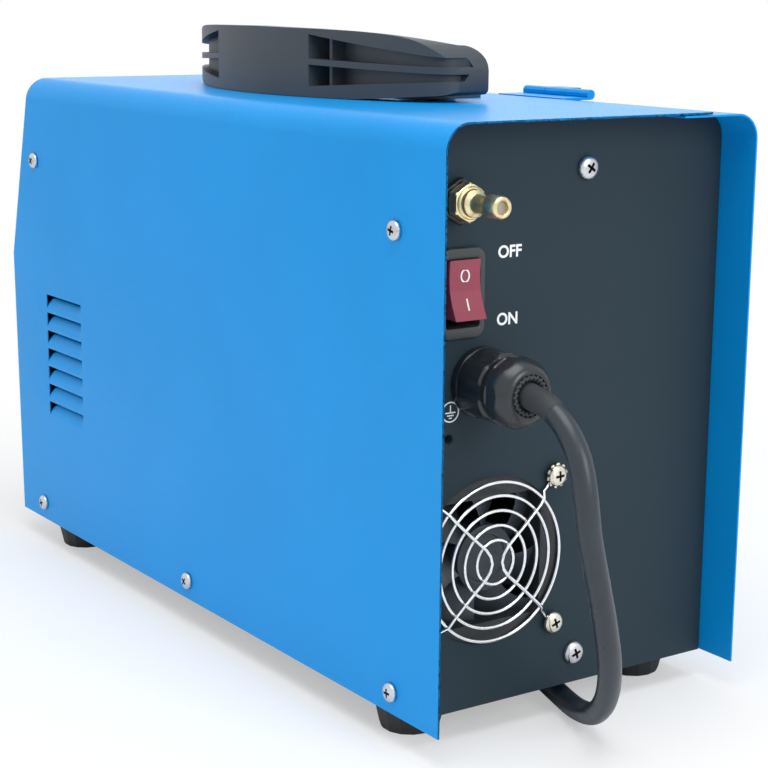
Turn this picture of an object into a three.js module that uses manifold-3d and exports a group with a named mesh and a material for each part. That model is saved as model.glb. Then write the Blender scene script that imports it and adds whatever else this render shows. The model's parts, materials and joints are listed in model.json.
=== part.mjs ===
// A portable wire-feed welding machine: a folded steel casing on rubber feet, with the
// fan, switch, gas fitting and mains lead at the rear, the welding sockets and controls
// at the front, a wire compartment behind a door on one side and a fold-flat handle.
// Millimetres. X is across the casing, Y runs from the front to the rear, Z is up.
import * as THREE from "three";
import { mergeVertices } from "three/addons/utils/BufferGeometryUtils.js";
import Module from "manifold-3d";

const wasm = await Module();
wasm.setup();

// ---------------------------------------------------------------- driving sizes

// Covers
const casingWidth = 208;
const casingLength = 524;
const casingHeight = 313; // of the covers alone, without the feet
const sheet = 1.2; // steel sheet
const bendRadius = 14; // outer radius of the covers' top bends
const noseHeight = 188; // height of the foremost line of the covers above their lower edge
const noseBottomSetback = 5;
const noseTopSetback = 34;
const endRecess = 25.7; // how far the end panels stand inside the covers
const flangeDepth = 30; // folded edge of the rear panel
const frontFlange = 22; // folded edge of the front panel, clear of the louvres
const seamX = -70; // where the right cover ends on the top
const seamLap = 20; // how far the left sheet runs on below it
const panFlange = 26; // folded side edge of the floor

// Sides of round shapes
const fine = 18;
const medium = 14;
const coarse = 10;
const small = 8;
const wireSides = 4;

// Clearances
const seat = 0.3; // between two pieces that touch
const running = 0.6; // around what turns or slides

// Feet
const footHeight = 17;
const footTopRadius = 20;
const footBottomRadius = 16.5;
const footX = 80;
const footInset = 59; // from the covers' ends

// Louvres in the right cover
const louvreCount = 7;
const louvrePitch = 12.7;
const louvreLength = 55;
const louvreRise = 10;
const louvreDepth = 4.6;
const louvreTopZ = 165.3; // upper edge of the highest slot above the cover's lower edge
const louvreFrontInset = 55; // from the foremost line to the slots

// Screws
const screwHead = { radius: 5.3, height: 3 };
const screwShank = { radius: 2.2, length: 9 };
const screwSetback = 42; // end screws of the covers, from the covers' ends
const screwLowZ = 12;
const screwHighZ = 257;
const screwMiddleY = -4.7;
const rearScrewX = -6;
const rearScrewLowZ = 17.6;
const rearScrewHighZ = 284.7;

// Fan and its guard, at the rear
const fanX = 52;
const fanZ = 80.1;
const fanSize = 92;
const fanDepth = 25.4;
const fanHoleSpacing = 82.5;
const fanBoreRadius = 45.4;
const fanHubRadius = 19;
const fanBladeCount = 7;
const fanBladeSweep = 15; // how far a blade leans round the axis
const fanBladeCamber = 3;
const fanPinRadius = 2.5;
const fanBladeThickness = 1.8;
const fanStrut = { width: 6, depth: 3.2, lean: 0.45 };
const guardRings = [12, 20, 28, 36, 43.4];
const guardWire = 0.95; // radius of the guard's wire
const guardStandOff = 2.6; // of the rings' wire from the panel
const spokeNear = 3.4; // how near the bent spokes come to the middle

// Switch
const switchX = 75;
const switchZ = 225;
const switchBezel = { width: 28, height: 47, depth: 2.4, corner: 6 };
const rockerSize = { width: 19.5, height: 31, proud: 2 };
const rockerTilt = 11; // degrees each way

// Gas fitting
const gasX = 78;
const gasZ = 272;
const gasReach = 40;
const gasThreadRadius = 7;

// Gland and lead
const glandX = 62;
const glandZ = 178;
const glandReach = 41;
const glandRadius = 18.5;
const glandThreadRadius = 12;
const glandThreadLength = 12; // inside the panel
const cordRadius = 6.25;
const coilMeanRadius = 69;
const coilCentre = { x: -200, y: 28 };
const coilTurnsPerLayer = 1.875;
const coilLeadIn = 12.5; // straight ends of the coil
const coilTail = 54;
const coilPitch = 13.5;
const plugRadius = 19;
const plugLength = 46;

// Earth stud's hole
const earthHoleX = 81;
const earthHoleZ = 149.7;
const earthHoleRadius = 3;

// Handle that lies flat on the top
const handleArc = 250; // radius of the palm bar's outer face, seen from above
const handleReach = 57; // how far it reaches from the middle of the casing
const handleHalfLength = 138;
const handleHeight = 40;
const handleEndDrop = 9; // the top slopes down towards the ends
const handleEndRise = 4; // and the underside slopes up
const handleCorner = 26; // rounding of its outer corners, seen from above
const handleKnee = 88; // where it begins to taper towards its ends
const handlePivotX = -4;
const handlePivotZ = 20; // above the top
const handlePinRadius = 5;
const handleEyeRadius = 11.5;
const palmHalfLength = 53;
const palmInnerX = 24;
const pocketRib = { from: 64, to: 66 }; // upright rib between two pockets
const pocketDepth = { palm: 17, end: 4.5 };
const pocketEndX = -5;
// Edges of the two rows of pockets above the top, beside the palm and at the ends
const pocketRows = [
  { low: [6.5, 12], high: [18.9, 15.5] },
  { low: [22.3, 19.5], high: [36.2, 24] },
];
const earRadius = 12;
const bracketInner = 86;
const bracketThickness = 15;
const bracketFoot = { length: 52, width: 40, thickness: 2.6, corner: 6 };

// Inside
const dividerX = -10;
const wireX = -42; // line of the welding wire
const wireZ = 112;
const spindleY = 50;
const spindleZ = 165;
const spindleRadius = 24.5;
const spindleLength = 52;
const axleRadius = 8;
const driveSetback = 102; // of the drive roll from the covers' front
const driveRadius = 15;
const pressureRadius = 11;
const rollGap = 0.9;

// Front panel
const knobRadius = 15;
const knobHeight = 15;
const socketRadius = 18;
const torchRadius = 22;

// Door on the left: its edges from the covers' front, rear and lower edge
const door = { front: 40, rear: 57, low: 40, high: 296 };
const doorLap = 9;
const doorCorner = 8;
const hingePinRadius = 1.6;
const hingeKnuckle = 3;
const hingeX = -97;
const hingeLength = 61;
const hingeY = 101;
const hingeSheet = 1.5;
const hingeLeaf = 22;

// ---------------------------------------------------------------- places that follow

const halfWidth = casingWidth / 2;
const rearEdge = casingLength / 2;
const frontEdge = -rearEdge;
const floorZ = footHeight; // lower edge of the covers
const topZ = footHeight + casingHeight;
const rearFace = rearEdge - endRecess;
const driveY = frontEdge + driveSetback;
const doorFront = frontEdge + door.front;
const doorRear = rearEdge - door.rear;
const lap = sheet + seat;
const leftTopZ = topZ - lap; // the left sheet runs under the right cover
const panelHalf = halfWidth - lap;
const panelTopZ = leftTopZ - lap;
const panelBend = bendRadius - lap;
const innerHalf = panelHalf - lap;
const rearInner = rearFace - lap;

// ---------------------------------------------------------------- shapes and solids

function solidOf(geometry) {
  const bare = geometry.clone();
  bare.deleteAttribute("normal");
  bare.deleteAttribute("uv");
  const merged = mergeVertices(bare, 1e-4);
  return new wasm.Manifold(
    new wasm.Mesh({
      numProp: 3,
      vertProperties: new Float32Array(merged.attributes.position.array),
      triVerts: new Uint32Array(merged.index.array),
    }),
  );
}

function geometryOf(solid) {
  const mesh = solid.getMesh();
  const geometry = new THREE.BufferGeometry();
  geometry.setAttribute("position", new THREE.BufferAttribute(mesh.vertProperties, 3));
  geometry.setIndex(new THREE.BufferAttribute(mesh.triVerts, 1));
  return geometry;
}

// A box given by its two corners.
function block(x0, x1, y0, y1, z0, z1) {
  const geometry = new THREE.BoxGeometry(x1 - x0, y1 - y0, z1 - z0);
  geometry.translate((x0 + x1) / 2, (y0 + y1) / 2, (z0 + z1) / 2);
  return solidOf(geometry);
}

const turnTo = {
  x: new THREE.Matrix4().makeRotationZ(-Math.PI / 2),
  y: new THREE.Matrix4(),
  z: new THREE.Matrix4().makeRotationX(Math.PI / 2),
};

// A cylinder or cone along an axis, from its start point.
function rod(axis, start, length, radius, endRadius = radius, sides = medium) {
  const geometry = new THREE.CylinderGeometry(endRadius, radius, length, sides);
  geometry.translate(0, length / 2, 0);
  geometry.applyMatrix4(turnTo[axis]);
  geometry.translate(...start);
  return solidOf(geometry);
}

// A turned solid: pairs of radius and distance along the axis.
function turned(axis, start, profile, sides = fine) {
  const points = profile.map(([radius, along]) => new THREE.Vector2(radius, along));
  const geometry = new THREE.LatheGeometry(points, sides);
  geometry.applyMatrix4(turnTo[axis]);
  geometry.translate(...start);
  return solidOf(geometry);
}

// A flat outline given thickness. Along x the outline is drawn in y and z, along y in
// x and z, and along z in x and y.
function plate(axis, shape, from, to, curveSegments = 8) {
  const geometry = new THREE.ExtrudeGeometry(shape, {
    depth: to - from,
    bevelEnabled: false,
    curveSegments,
  });
  if (axis === "x") {
    geometry.applyMatrix4(
      new THREE.Matrix4().set(0, 0, 1, from, 1, 0, 0, 0, 0, 1, 0, 0, 0, 0, 0, 1),
    );
  } else if (axis === "y") {
    geometry.rotateX(Math.PI / 2);
    geometry.translate(0, to, 0);
  } else {
    geometry.translate(0, 0, from);
  }
  return solidOf(geometry);
}

function outline(points) {
  return new THREE.Shape(points.map(([a, b]) => new THREE.Vector2(a, b)));
}

function roundedRectangle(width, height, radius, centreA = 0, centreB = 0) {
  const a = centreA - width / 2;
  const b = centreB - height / 2;
  const shape = new THREE.Shape();
  shape.moveTo(a + radius, b);
  shape.lineTo(a + width - radius, b);
  shape.absarc(a + width - radius, b + radius, radius, -Math.PI / 2, 0);
  shape.lineTo(a + width, b + height - radius);
  shape.absarc(a + width - radius, b + height - radius, radius, 0, Math.PI / 2);
  shape.lineTo(a + radius, b + height);
  shape.absarc(a + radius, b + height - radius, radius, Math.PI / 2, Math.PI);
  shape.lineTo(a, b + radius);
  shape.absarc(a + radius, b + radius, radius, Math.PI, Math.PI * 1.5);
  return shape;
}

// A round bar swept along a curve.
function bar(curve, radius, steps, sides) {
  const section = new THREE.Shape();
  for (let i = 0; i < sides; i += 1) {
    const angle = (2 * Math.PI * i) / sides;
    const x = radius * Math.cos(angle);
    const y = radius * Math.sin(angle);
    if (i === 0) section.moveTo(x, y);
    else section.lineTo(x, y);
  }
  return new THREE.ExtrudeGeometry(section, { steps, extrudePath: curve });
}

// The line of the casing's nose at a height above the floor, moved back by an inset.
function noseY(z, inset) {
  const rise = z - floorZ;
  if (rise <= noseHeight) {
    return frontEdge + inset + noseBottomSetback * (1 - rise / noseHeight);
  }
  return frontEdge + inset + noseTopSetback * ((rise - noseHeight) / (casingHeight - noseHeight));
}

// Side view between the nose line and a second line.
function sideOutline(inset, z0, z1, rearAt) {
  const mid = floorZ + noseHeight;
  return outline([
    [noseY(z0, inset), z0],
    [rearAt(z0), z0],
    [rearAt(mid), mid],
    [rearAt(z1), z1],
    [noseY(z1, inset), z1],
    [noseY(mid, inset), mid],
  ]);
}

// End view: straight sides and rounded upper corners.
function endOutline(half, z0, z1, radius) {
  const shape = new THREE.Shape();
  shape.moveTo(-half, z0);
  shape.lineTo(half, z0);
  shape.lineTo(half, z1 - radius);
  shape.absarc(half - radius, z1 - radius, radius, 0, Math.PI / 2);
  shape.lineTo(radius - half, z1);
  shape.absarc(radius - half, z1 - radius, radius, Math.PI / 2, Math.PI);
  return shape;
}

// ---------------------------------------------------------------- materials and pieces

const finishes = {
  bluePaint: { color: 0x2b97e0, roughness: 0.45, metalness: 0 },
  blackPaint: { color: 0x353f46, roughness: 0.6, metalness: 0 },
  steel: { color: 0xb9bcc0, roughness: 0.35, metalness: 1 },
  nickel: { color: 0xd2cda8, roughness: 0.3, metalness: 1 },
  chrome: { color: 0xe6e6e6, roughness: 0.15, metalness: 1 },
  brass: { color: 0xc9a24e, roughness: 0.3, metalness: 1 },
  aluminium: { color: 0xa9acae, roughness: 0.45, metalness: 1 },
  blackPlastic: { color: 0x25292c, roughness: 0.55, metalness: 0 },
  handlePlastic: { color: 0x3a4247, roughness: 0.5, metalness: 0 },
  redPlastic: { color: 0x8e3a48, roughness: 0.35, metalness: 0 },
  rubber: { color: 0x2a2c2e, roughness: 0.85, metalness: 0 },
  cordRubber: { color: 0x3b4045, roughness: 0.6, metalness: 0 },
  board: { color: 0x1f5a3a, roughness: 0.5, metalness: 0 },
  copper: { color: 0xa9582f, roughness: 0.4, metalness: 0.6 },
  darkGlass: { color: 0x101214, roughness: 0.1, metalness: 0 },
};

const welder = new THREE.Group();

function piece(name, finish, shape, parent = welder) {
  const geometry = shape.isBufferGeometry ? shape : geometryOf(shape);
  const mesh = new THREE.Mesh(geometry, new THREE.MeshStandardMaterial(finishes[finish]));
  mesh.name = name;
  parent.add(mesh);
  return mesh;
}

// ---------------------------------------------------------------- casing

const rearStraight = (y) => () => y;
const holeForScrew = screwShank.radius + seat;

// Places of the screws through the right cover: along y and above the covers' lower edge.
const sideScrews = [
  ["side_screw_front_low", frontEdge + screwSetback, screwLowZ],
  ["side_screw_middle", screwMiddleY, screwLowZ],
  ["side_screw_rear_low", rearEdge - screwSetback, screwLowZ],
  ["side_screw_front_high", noseY(floorZ + screwHighZ, endRecess) - holeForScrew, screwHighZ],
  ["side_screw_rear_high", rearEdge - screwSetback, screwHighZ],
];

const screwBore = wasm.Manifold.union(
  sideScrews.map(([, y, z]) =>
    rod("x", [halfWidth - 3 * lap - 1, y, floorZ + z], 3 * lap + 2, holeForScrew, holeForScrew, small),
  ),
);

function foldedCover(topAt) {
  const outside = plate("y", endOutline(halfWidth, floorZ, topAt, bendRadius), frontEdge, rearEdge);
  const inside = plate(
    "y",
    endOutline(halfWidth - sheet, floorZ - 1, topAt - sheet, bendRadius - sheet),
    frontEdge - 1,
    rearEdge + 1,
  );
  const side = plate(
    "x",
    sideOutline(0, floorZ, topZ, rearStraight(rearEdge)),
    -halfWidth - 1,
    halfWidth + 1,
  );
  return outside.subtract(inside).intersect(side);
}

// One louvre: a slot, and a tongue that leans inwards from the slot's lower edge.
function louvre(cover, upperZ) {
  const front = frontEdge + louvreFrontInset;
  const lowerZ = upperZ - louvreRise;
  const slot = block(halfWidth - sheet - 1, halfWidth + 1, front, front + louvreLength, lowerZ, upperZ);
  const tongue = plate(
    "y",
    outline([
      [halfWidth, lowerZ - 1],
      [halfWidth, lowerZ],
      [halfWidth - louvreDepth + sheet, upperZ - 1],
      [halfWidth - louvreDepth, upperZ - 1],
      [halfWidth - sheet, lowerZ - 1],
    ]),
    front + seat,
    front + louvreLength - seat,
  );
  return cover.subtract(slot).add(tongue);
}

function sideCover() {
  let cover = foldedCover(topZ).intersect(
    block(seamX, halfWidth + 1, frontEdge - 1, rearEdge + 1, 0, topZ + 1),
  );
  for (let i = 0; i < louvreCount; i += 1) {
    cover = louvre(cover, floorZ + louvreTopZ - i * louvrePitch);
  }
  return cover.subtract(screwBore);
}

function leftSheet() {
  const opening = block(
    -halfWidth - 1,
    -halfWidth + sheet + 1,
    doorFront + doorLap,
    doorRear - doorLap,
    floorZ + door.low + doorLap,
    floorZ + door.high - doorLap,
  );
  return foldedCover(leftTopZ)
    .intersect(block(-halfWidth - 1, seamX + seamLap, frontEdge - 1, rearEdge + 1, 0, topZ + 1))
    .subtract(opening);
}

function floorPan() {
  const front = noseY(floorZ, endRecess + lap);
  const base = block(-innerHalf, innerHalf, front, rearInner, floorZ, floorZ + sheet);
  const edge = (x) => block(x, x + sheet, front, rearInner, floorZ, floorZ + panFlange);
  return base.add(edge(-innerHalf)).add(edge(innerHalf - sheet)).subtract(screwBore);
}

piece("side_cover", "bluePaint", sideCover());
piece("left_frame", "bluePaint", leftSheet());
piece("base_pan", "blackPaint", floorPan());

// ---------------------------------------------------------------- rear panel

const switchHole = { width: switchBezel.width - 5, height: switchBezel.height - 7 };

function rearPanel() {
  const outside = plate(
    "y",
    endOutline(panelHalf, floorZ, panelTopZ, panelBend),
    rearFace - flangeDepth,
    rearFace,
  );
  const inside = plate(
    "y",
    endOutline(panelHalf - sheet, floorZ - 1, panelTopZ - sheet, panelBend - sheet),
    rearFace - flangeDepth - 1,
    rearFace - sheet,
  );
  const through = (x, z, radius, sides = medium) =>
    rod("y", [x, rearFace - sheet - 1, floorZ + z], sheet + 2, radius, radius, sides);
  const fanCorner = fanHoleSpacing / 2;
  const holes = [
    screwBore,
    through(fanX, fanZ, fanBoreRadius + 0.6, fine),
    through(fanX - fanCorner, fanZ - fanCorner, holeForScrew, small),
    through(fanX + fanCorner, fanZ - fanCorner, holeForScrew, small),
    through(fanX - fanCorner, fanZ + fanCorner, holeForScrew, small),
    through(fanX + fanCorner, fanZ + fanCorner, holeForScrew, small),
    through(gasX, gasZ, gasThreadRadius + seat),
    through(glandX, glandZ, glandThreadRadius + seat),
    through(earthHoleX, earthHoleZ, earthHoleRadius, coarse),
    through(rearScrewX, rearScrewLowZ, holeForScrew, small),
    through(rearScrewX, rearScrewHighZ, holeForScrew, small),
    block(
      switchX - switchHole.width / 2,
      switchX + switchHole.width / 2,
      rearFace - sheet - 1,
      rearFace + 1,
      floorZ + switchZ - switchHole.height / 2,
      floorZ + switchZ + switchHole.height / 2,
    ),
  ];
  return outside.subtract(inside).subtract(wasm.Manifold.union(holes));
}

piece("rear_panel", "blackPaint", rearPanel());

// A pan-head screw, drawn with its head along z.
function screw(name, finish, axisTurn, x, y, z) {
  const { radius, height } = screwHead;
  const head = turned("z", [0, 0, 0], [
    [0, -screwShank.length],
    [screwShank.radius, -screwShank.length],
    [screwShank.radius, 0],
    [radius, 0],
    [radius, height * 0.3],
    [radius * 0.82, height * 0.75],
    [radius * 0.5, height],
    [0, height],
  ], coarse);
  const mesh = piece(name, finish, head);
  mesh.rotation.set(...axisTurn);
  mesh.position.set(x, y, z);
}

const facingRight = [0, Math.PI / 2, 0];
const facingRear = [-Math.PI / 2, 0, 0];

for (const [name, y, z] of sideScrews) {
  screw(name, "steel", facingRight, halfWidth + seat, y, floorZ + z);
}
screw("rear_screw_low", "steel", facingRear, rearScrewX, rearFace + seat, floorZ + rearScrewLowZ);
screw("rear_screw_high", "steel", facingRear, rearScrewX, rearFace + seat, floorZ + rearScrewHighZ);

// ---------------------------------------------------------------- fan

const fanFront = rearInner - fanDepth;
const guardLoopPlane = rearFace + seat + guardWire;
const guardRingPlane = rearFace + guardStandOff + guardWire;
const guardSpokePlane = guardRingPlane + 1.2 * guardWire;

function fanFrame() {
  const square = plate("y", roundedRectangle(fanSize, fanSize, 5), fanFront, rearInner);
  const bore = rod("y", [0, fanFront - 1, 0], fanDepth + 2, fanBoreRadius, fanBoreRadius, fine);
  const hub = rod("y", [0, fanFront, 0], 4, fanHubRadius, fanHubRadius, medium);
  const pin = rod("y", [0, fanFront + 3, 0], 12, fanPinRadius, fanPinRadius, small);
  let frame = square.subtract(bore).add(hub).add(pin);
  for (let i = 0; i < 4; i += 1) {
    const reach = fanBoreRadius - fanHubRadius + 4;
    const strut = new THREE.BoxGeometry(reach, fanStrut.depth, fanStrut.width);
    strut.translate((fanBoreRadius + fanHubRadius) / 2, fanFront + fanStrut.depth / 2, 0);
    strut.rotateY((i * Math.PI) / 2 + fanStrut.lean);
    frame = frame.add(solidOf(strut));
  }
  for (const [x, z] of fanCorners) {
    const hole = rod("y", [x, fanFront - 1, z], fanDepth + 2, holeForScrew, holeForScrew, small);
    frame = frame.subtract(hole);
  }
  return frame;
}

// A blade's curved section, drawn along the axis and round it.
function bladeSection(start, depth) {
  const points = [];
  const middle = (k) => fanBladeSweep * (k / 4 - 0.5) + fanBladeCamber * Math.sin((Math.PI * k) / 4);
  for (let k = 0; k <= 4; k += 1) points.push([start + (depth * k) / 4, middle(k)]);
  for (let k = 4; k >= 0; k -= 1) points.push([start + (depth * k) / 4, middle(k) + fanBladeThickness]);
  return outline(points);
}

function fanRotor() {
  const depth = fanDepth - 8;
  const start = fanFront + 5;
  let rotor = turned("y", [0, start, 0], [
    [0, depth - 4],
    [fanPinRadius + running, depth - 4],
    [fanPinRadius + running, 0],
    [fanHubRadius - 0.5, 0],
    [fanHubRadius - 0.5, depth],
    [0, depth],
  ], 3 * fanBladeCount);
  const section = bladeSection(start + 0.5, depth - 1);
  for (let i = 0; i < fanBladeCount; i += 1) {
    const blade = geometryOf(plate("x", section, fanHubRadius - 2.5, fanBoreRadius - 1.8));
    blade.rotateY((2 * Math.PI * i) / fanBladeCount);
    rotor = rotor.add(solidOf(blade));
  }
  return rotor;
}

const fanReach = fanHoleSpacing / 2;
const fanCorners = [
  [-fanReach, -fanReach],
  [fanReach, -fanReach],
  [-fanReach, fanReach],
  [fanReach, fanReach],
];
const fanGroup = new THREE.Group();
fanGroup.position.set(fanX, 0, floorZ + fanZ);
welder.add(fanGroup);
piece("fan_frame", "blackPlastic", fanFrame(), fanGroup);
piece("fan_rotor", "blackPlastic", fanRotor(), fanGroup);

// Five rings, and over them two spokes, each bent away from the middle. Outside the
// rings a spoke steps back to the panel and ends in an eye round a screw.
function fanGuard() {
  const outerRing = guardRings[guardRings.length - 1] * Math.SQRT1_2;
  const eye = screwShank.radius + seat + guardWire;
  const near = fanReach - eye * 0.75;
  const over = outerRing + 2 * guardWire;
  const parts = guardRings.map((radius) => {
    const ring = new THREE.TorusGeometry(radius, guardWire, wireSides, radius < 30 ? coarse : fine);
    ring.rotateX(Math.PI / 2);
    ring.translate(0, guardRingPlane, 0);
    return solidOf(ring);
  });
  for (const side of [-1, 1]) {
    const at = (across, up, plane) => new THREE.Vector3(side * across, plane, up);
    const half = [
      at(near, near, guardLoopPlane),
      at(over + 3.5, over + 3.5, guardLoopPlane),
      at(over, over, guardSpokePlane),
      at(18, 17, guardSpokePlane),
      at(6, 7.5, guardSpokePlane),
    ];
    const mirrored = half.map((point) => new THREE.Vector3(point.x, point.y, -point.z)).reverse();
    const line = [...half, at(spokeNear, 0, guardSpokePlane), ...mirrored];
    const spoke = new THREE.CatmullRomCurve3(line, false, "centripetal");
    parts.push(solidOf(bar(spoke, guardWire, fine, wireSides)));
    for (const z of [-fanReach, fanReach]) {
      const loop = new THREE.TorusGeometry(eye, guardWire, wireSides, small);
      loop.rotateX(Math.PI / 2);
      loop.translate(side * fanReach, guardLoopPlane, z);
      parts.push(solidOf(loop));
    }
  }
  return wasm.Manifold.union(parts);
}

piece("fan_guard", "chrome", fanGuard(), fanGroup);

const cornerNames = ["left_low", "right_low", "left_high", "right_high"];
fanCorners.forEach(([x, z], i) => {
  const outer = rearFace + seat + 2 * guardWire + seat;
  screw(`fan_screw_${cornerNames[i]}`, "nickel", facingRear, fanX + x, outer, floorZ + fanZ + z);
});

// ---------------------------------------------------------------- switch

const switchGroup = new THREE.Group();
switchGroup.position.set(switchX, rearFace, floorZ + switchZ);
welder.add(switchGroup);
const rockerPivotY = -6;

function switchBody() {
  const bezel = plate(
    "y",
    roundedRectangle(switchBezel.width, switchBezel.height, switchBezel.corner),
    seat,
    seat + switchBezel.depth,
  );
  const box = block(
    -switchHole.width / 2 + seat,
    switchHole.width / 2 - seat,
    -28,
    seat + 1,
    -switchHole.height / 2 + seat,
    switchHole.height / 2 - seat,
  );
  const well = block(
    -rockerSize.width / 2 - running,
    rockerSize.width / 2 + running,
    -24,
    seat + switchBezel.depth + 1,
    -rockerSize.height / 2 - 3 * running,
    rockerSize.height / 2 + 3 * running,
  );
  return bezel.add(box).subtract(well);
}

// Two faces that meet in a shallow V. As photographed the upper half is pressed in.
function rocker() {
  const tilt = THREE.MathUtils.degToRad(rockerTilt);
  const front = switchBezel.depth + rockerSize.proud;
  const half = rockerSize.height / 2;
  const rise = half * Math.tan(tilt);
  const shape = outline([
    [front - rockerPivotY, 0],
    [front - rockerPivotY + rise, half],
    [front - rockerPivotY - 1.7, half * 0.92],
    [2, half * 0.82],
    [-6, half * 0.4],
    [-6, -half * 0.4],
    [2, -half * 0.82],
    [front - rockerPivotY - 1.7, -half * 0.92],
    [front - rockerPivotY + rise, -half],
  ]);
  return plate("x", shape, -rockerSize.width / 2, rockerSize.width / 2);
}

piece("switch_body", "blackPlastic", switchBody(), switchGroup);
const rockerMesh = piece("rocker", "redPlastic", rocker(), switchGroup);
rockerMesh.position.y = rockerPivotY;
rockerMesh.rotation.x = THREE.MathUtils.degToRad(rockerTilt);

// ---------------------------------------------------------------- gas fitting

const gasGroup = new THREE.Group();
gasGroup.position.set(gasX, rearFace, floorZ + gasZ);
welder.add(gasGroup);

// A brass hose tail: thread and washer at the panel, a hexagon, then the barbed tail
// with its bore.
function gasFitting() {
  const hexagon = rod("y", [0, 10, 0], 9, 11.5, 11.5, 6);
  const tail = turned("y", [0, 0, 0], [
    [3.4, -14],
    [gasThreadRadius, -14],
    [gasThreadRadius, 13],
    [6.6, 19.5],
    [5.4, 21],
    [4.3, 23],
    [4.3, gasReach - 9],
    [5.7, gasReach - 8],
    [4.6, gasReach],
    [3.4, gasReach],
    [3.4, -14],
  ], medium);
  const bore = rod("y", [0, -15, 0], gasReach + 16, 3.4, 3.4, medium);
  return hexagon.subtract(bore).add(tail);
}

function gasNut() {
  const nut = rod("y", [0, seat, 0], 5, 12.4, 12.4, 6);
  const washer = rod("y", [0, seat, 0], 1.6, 13, 13, medium);
  const bore = rod("y", [0, seat - 1, 0], 8, gasThreadRadius + seat, gasThreadRadius + seat, medium);
  return nut.add(washer).subtract(bore);
}

piece("gas_fitting", "brass", gasFitting(), gasGroup);
piece("gas_nut", "blackPlastic", gasNut(), gasGroup);

// ---------------------------------------------------------------- gland and lead

const glandGroup = new THREE.Group();
glandGroup.position.set(glandX, rearFace, floorZ + glandZ);
welder.add(glandGroup);
const glandBodyLength = 15;
const sealLength = 6;

function glandBody() {
  const flange = rod("y", [0, seat, 0], 4, glandRadius, glandRadius, fine);
  const hexagon = rod("y", [0, seat + 3, 0], glandBodyLength - 7, glandRadius, glandRadius * 0.97, 6);
  const collarLength = glandBodyLength + glandThreadLength;
  const start = -glandThreadLength;
  const collar = rod("y", [0, start, 0], collarLength, glandThreadRadius, glandThreadRadius);
  const wayThrough = cordRadius + running;
  const bore = rod("y", [0, start - 1, 0], collarLength + 3, wayThrough, wayThrough);
  return flange.add(hexagon).add(collar).subtract(bore);
}

// The dome nut: six flats that run out into a round, domed end.
function glandNut() {
  const start = glandBodyLength + seat;
  const end = glandReach - sealLength;
  const dome = turned("y", [0, 0, 0], [
    [0, start],
    [glandRadius, start],
    [glandRadius, end - 12],
    [glandRadius * 0.94, end - 7],
    [glandRadius * 0.8, end - 2.5],
    [glandRadius * 0.66, end],
    [0, end],
  ], fine);
  const flats = rod("y", [0, start - 1, 0], end - start + 2, glandRadius * 1.06, glandRadius * 1.06, 6);
  const bore = turned("y", [0, 0, 0], [
    [0, start - 1],
    [cordRadius + 4.5, start - 1],
    [cordRadius + 4.5, end + 1],
    [0, end + 1],
  ], medium);
  return dome.intersect(flats).subtract(bore);
}

function glandSeal() {
  const start = glandBodyLength + 3;
  return turned("y", [0, 0, 0], [
    [cordRadius + running, start],
    [cordRadius + 4.2, start],
    [cordRadius + 4.2, glandReach - 2],
    [cordRadius + 3, glandReach],
    [cordRadius + running, glandReach],
    [cordRadius + running, start],
  ], medium);
}

piece("gland_body", "blackPlastic", glandBody(), glandGroup);
piece("gland_nut", "blackPlastic", glandNut(), glandGroup);
piece("gland_seal", "rubber", glandSeal(), glandGroup);

// The lead runs straight out of the gland, drops, sweeps in below the casing between the
// feet and comes out on the left, where the rest of it lies in a round coil.
const lieZ = cordRadius + 0.15;
const coilTurns = 2 * coilTurnsPerLayer + 0.5;
const coilOuter = coilMeanRadius + (coilPitch * coilTurnsPerLayer) / 2;
const layerRise = 2 * cordRadius + 0.5;

// Two layers: the lower spirals in, the upper spirals out, with the climb in the half
// turn between them, where the line also dips inwards to clear its neighbours.
function coilSpiral(turn) {
  const climb = THREE.MathUtils.clamp((turn - coilTurnsPerLayer) / 0.5, 0, 1);
  const inwards = Math.min(turn, coilTurnsPerLayer) + climb * 0.25;
  const outwards = Math.max(turn - coilTurnsPerLayer - 0.5, 0);
  const dip = 0.42 * coilPitch * Math.sin(Math.PI * climb);
  const radius = coilOuter - coilPitch * (inwards - outwards) - dip;
  const angle = Math.PI / 2 + 2 * Math.PI * turn;
  return new THREE.Vector3(
    coilCentre.x + radius * Math.cos(angle),
    coilCentre.y + radius * Math.sin(angle),
    lieZ + climb * climb * (3 - 2 * climb) * layerRise,
  );
}

function coilDirection(turn) {
  const step = 0.0001;
  return coilSpiral(turn + step).sub(coilSpiral(turn - step)).normalize();
}

// The coil with its straight ends, the second of which reaches clear of the turns.
class CoilRun extends THREE.Curve {
  getPoint(t, target = new THREE.Vector3()) {
    const spiral = 2 * Math.PI * coilMeanRadius * coilTurns;
    const along = t * (coilLeadIn + spiral + coilTail) - coilLeadIn;
    const turn = THREE.MathUtils.clamp(along / spiral, 0, 1) * coilTurns;
    const beyond = along - THREE.MathUtils.clamp(along, 0, spiral);
    return target.copy(coilSpiral(turn)).addScaledVector(coilDirection(turn), beyond);
  }
}

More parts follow.
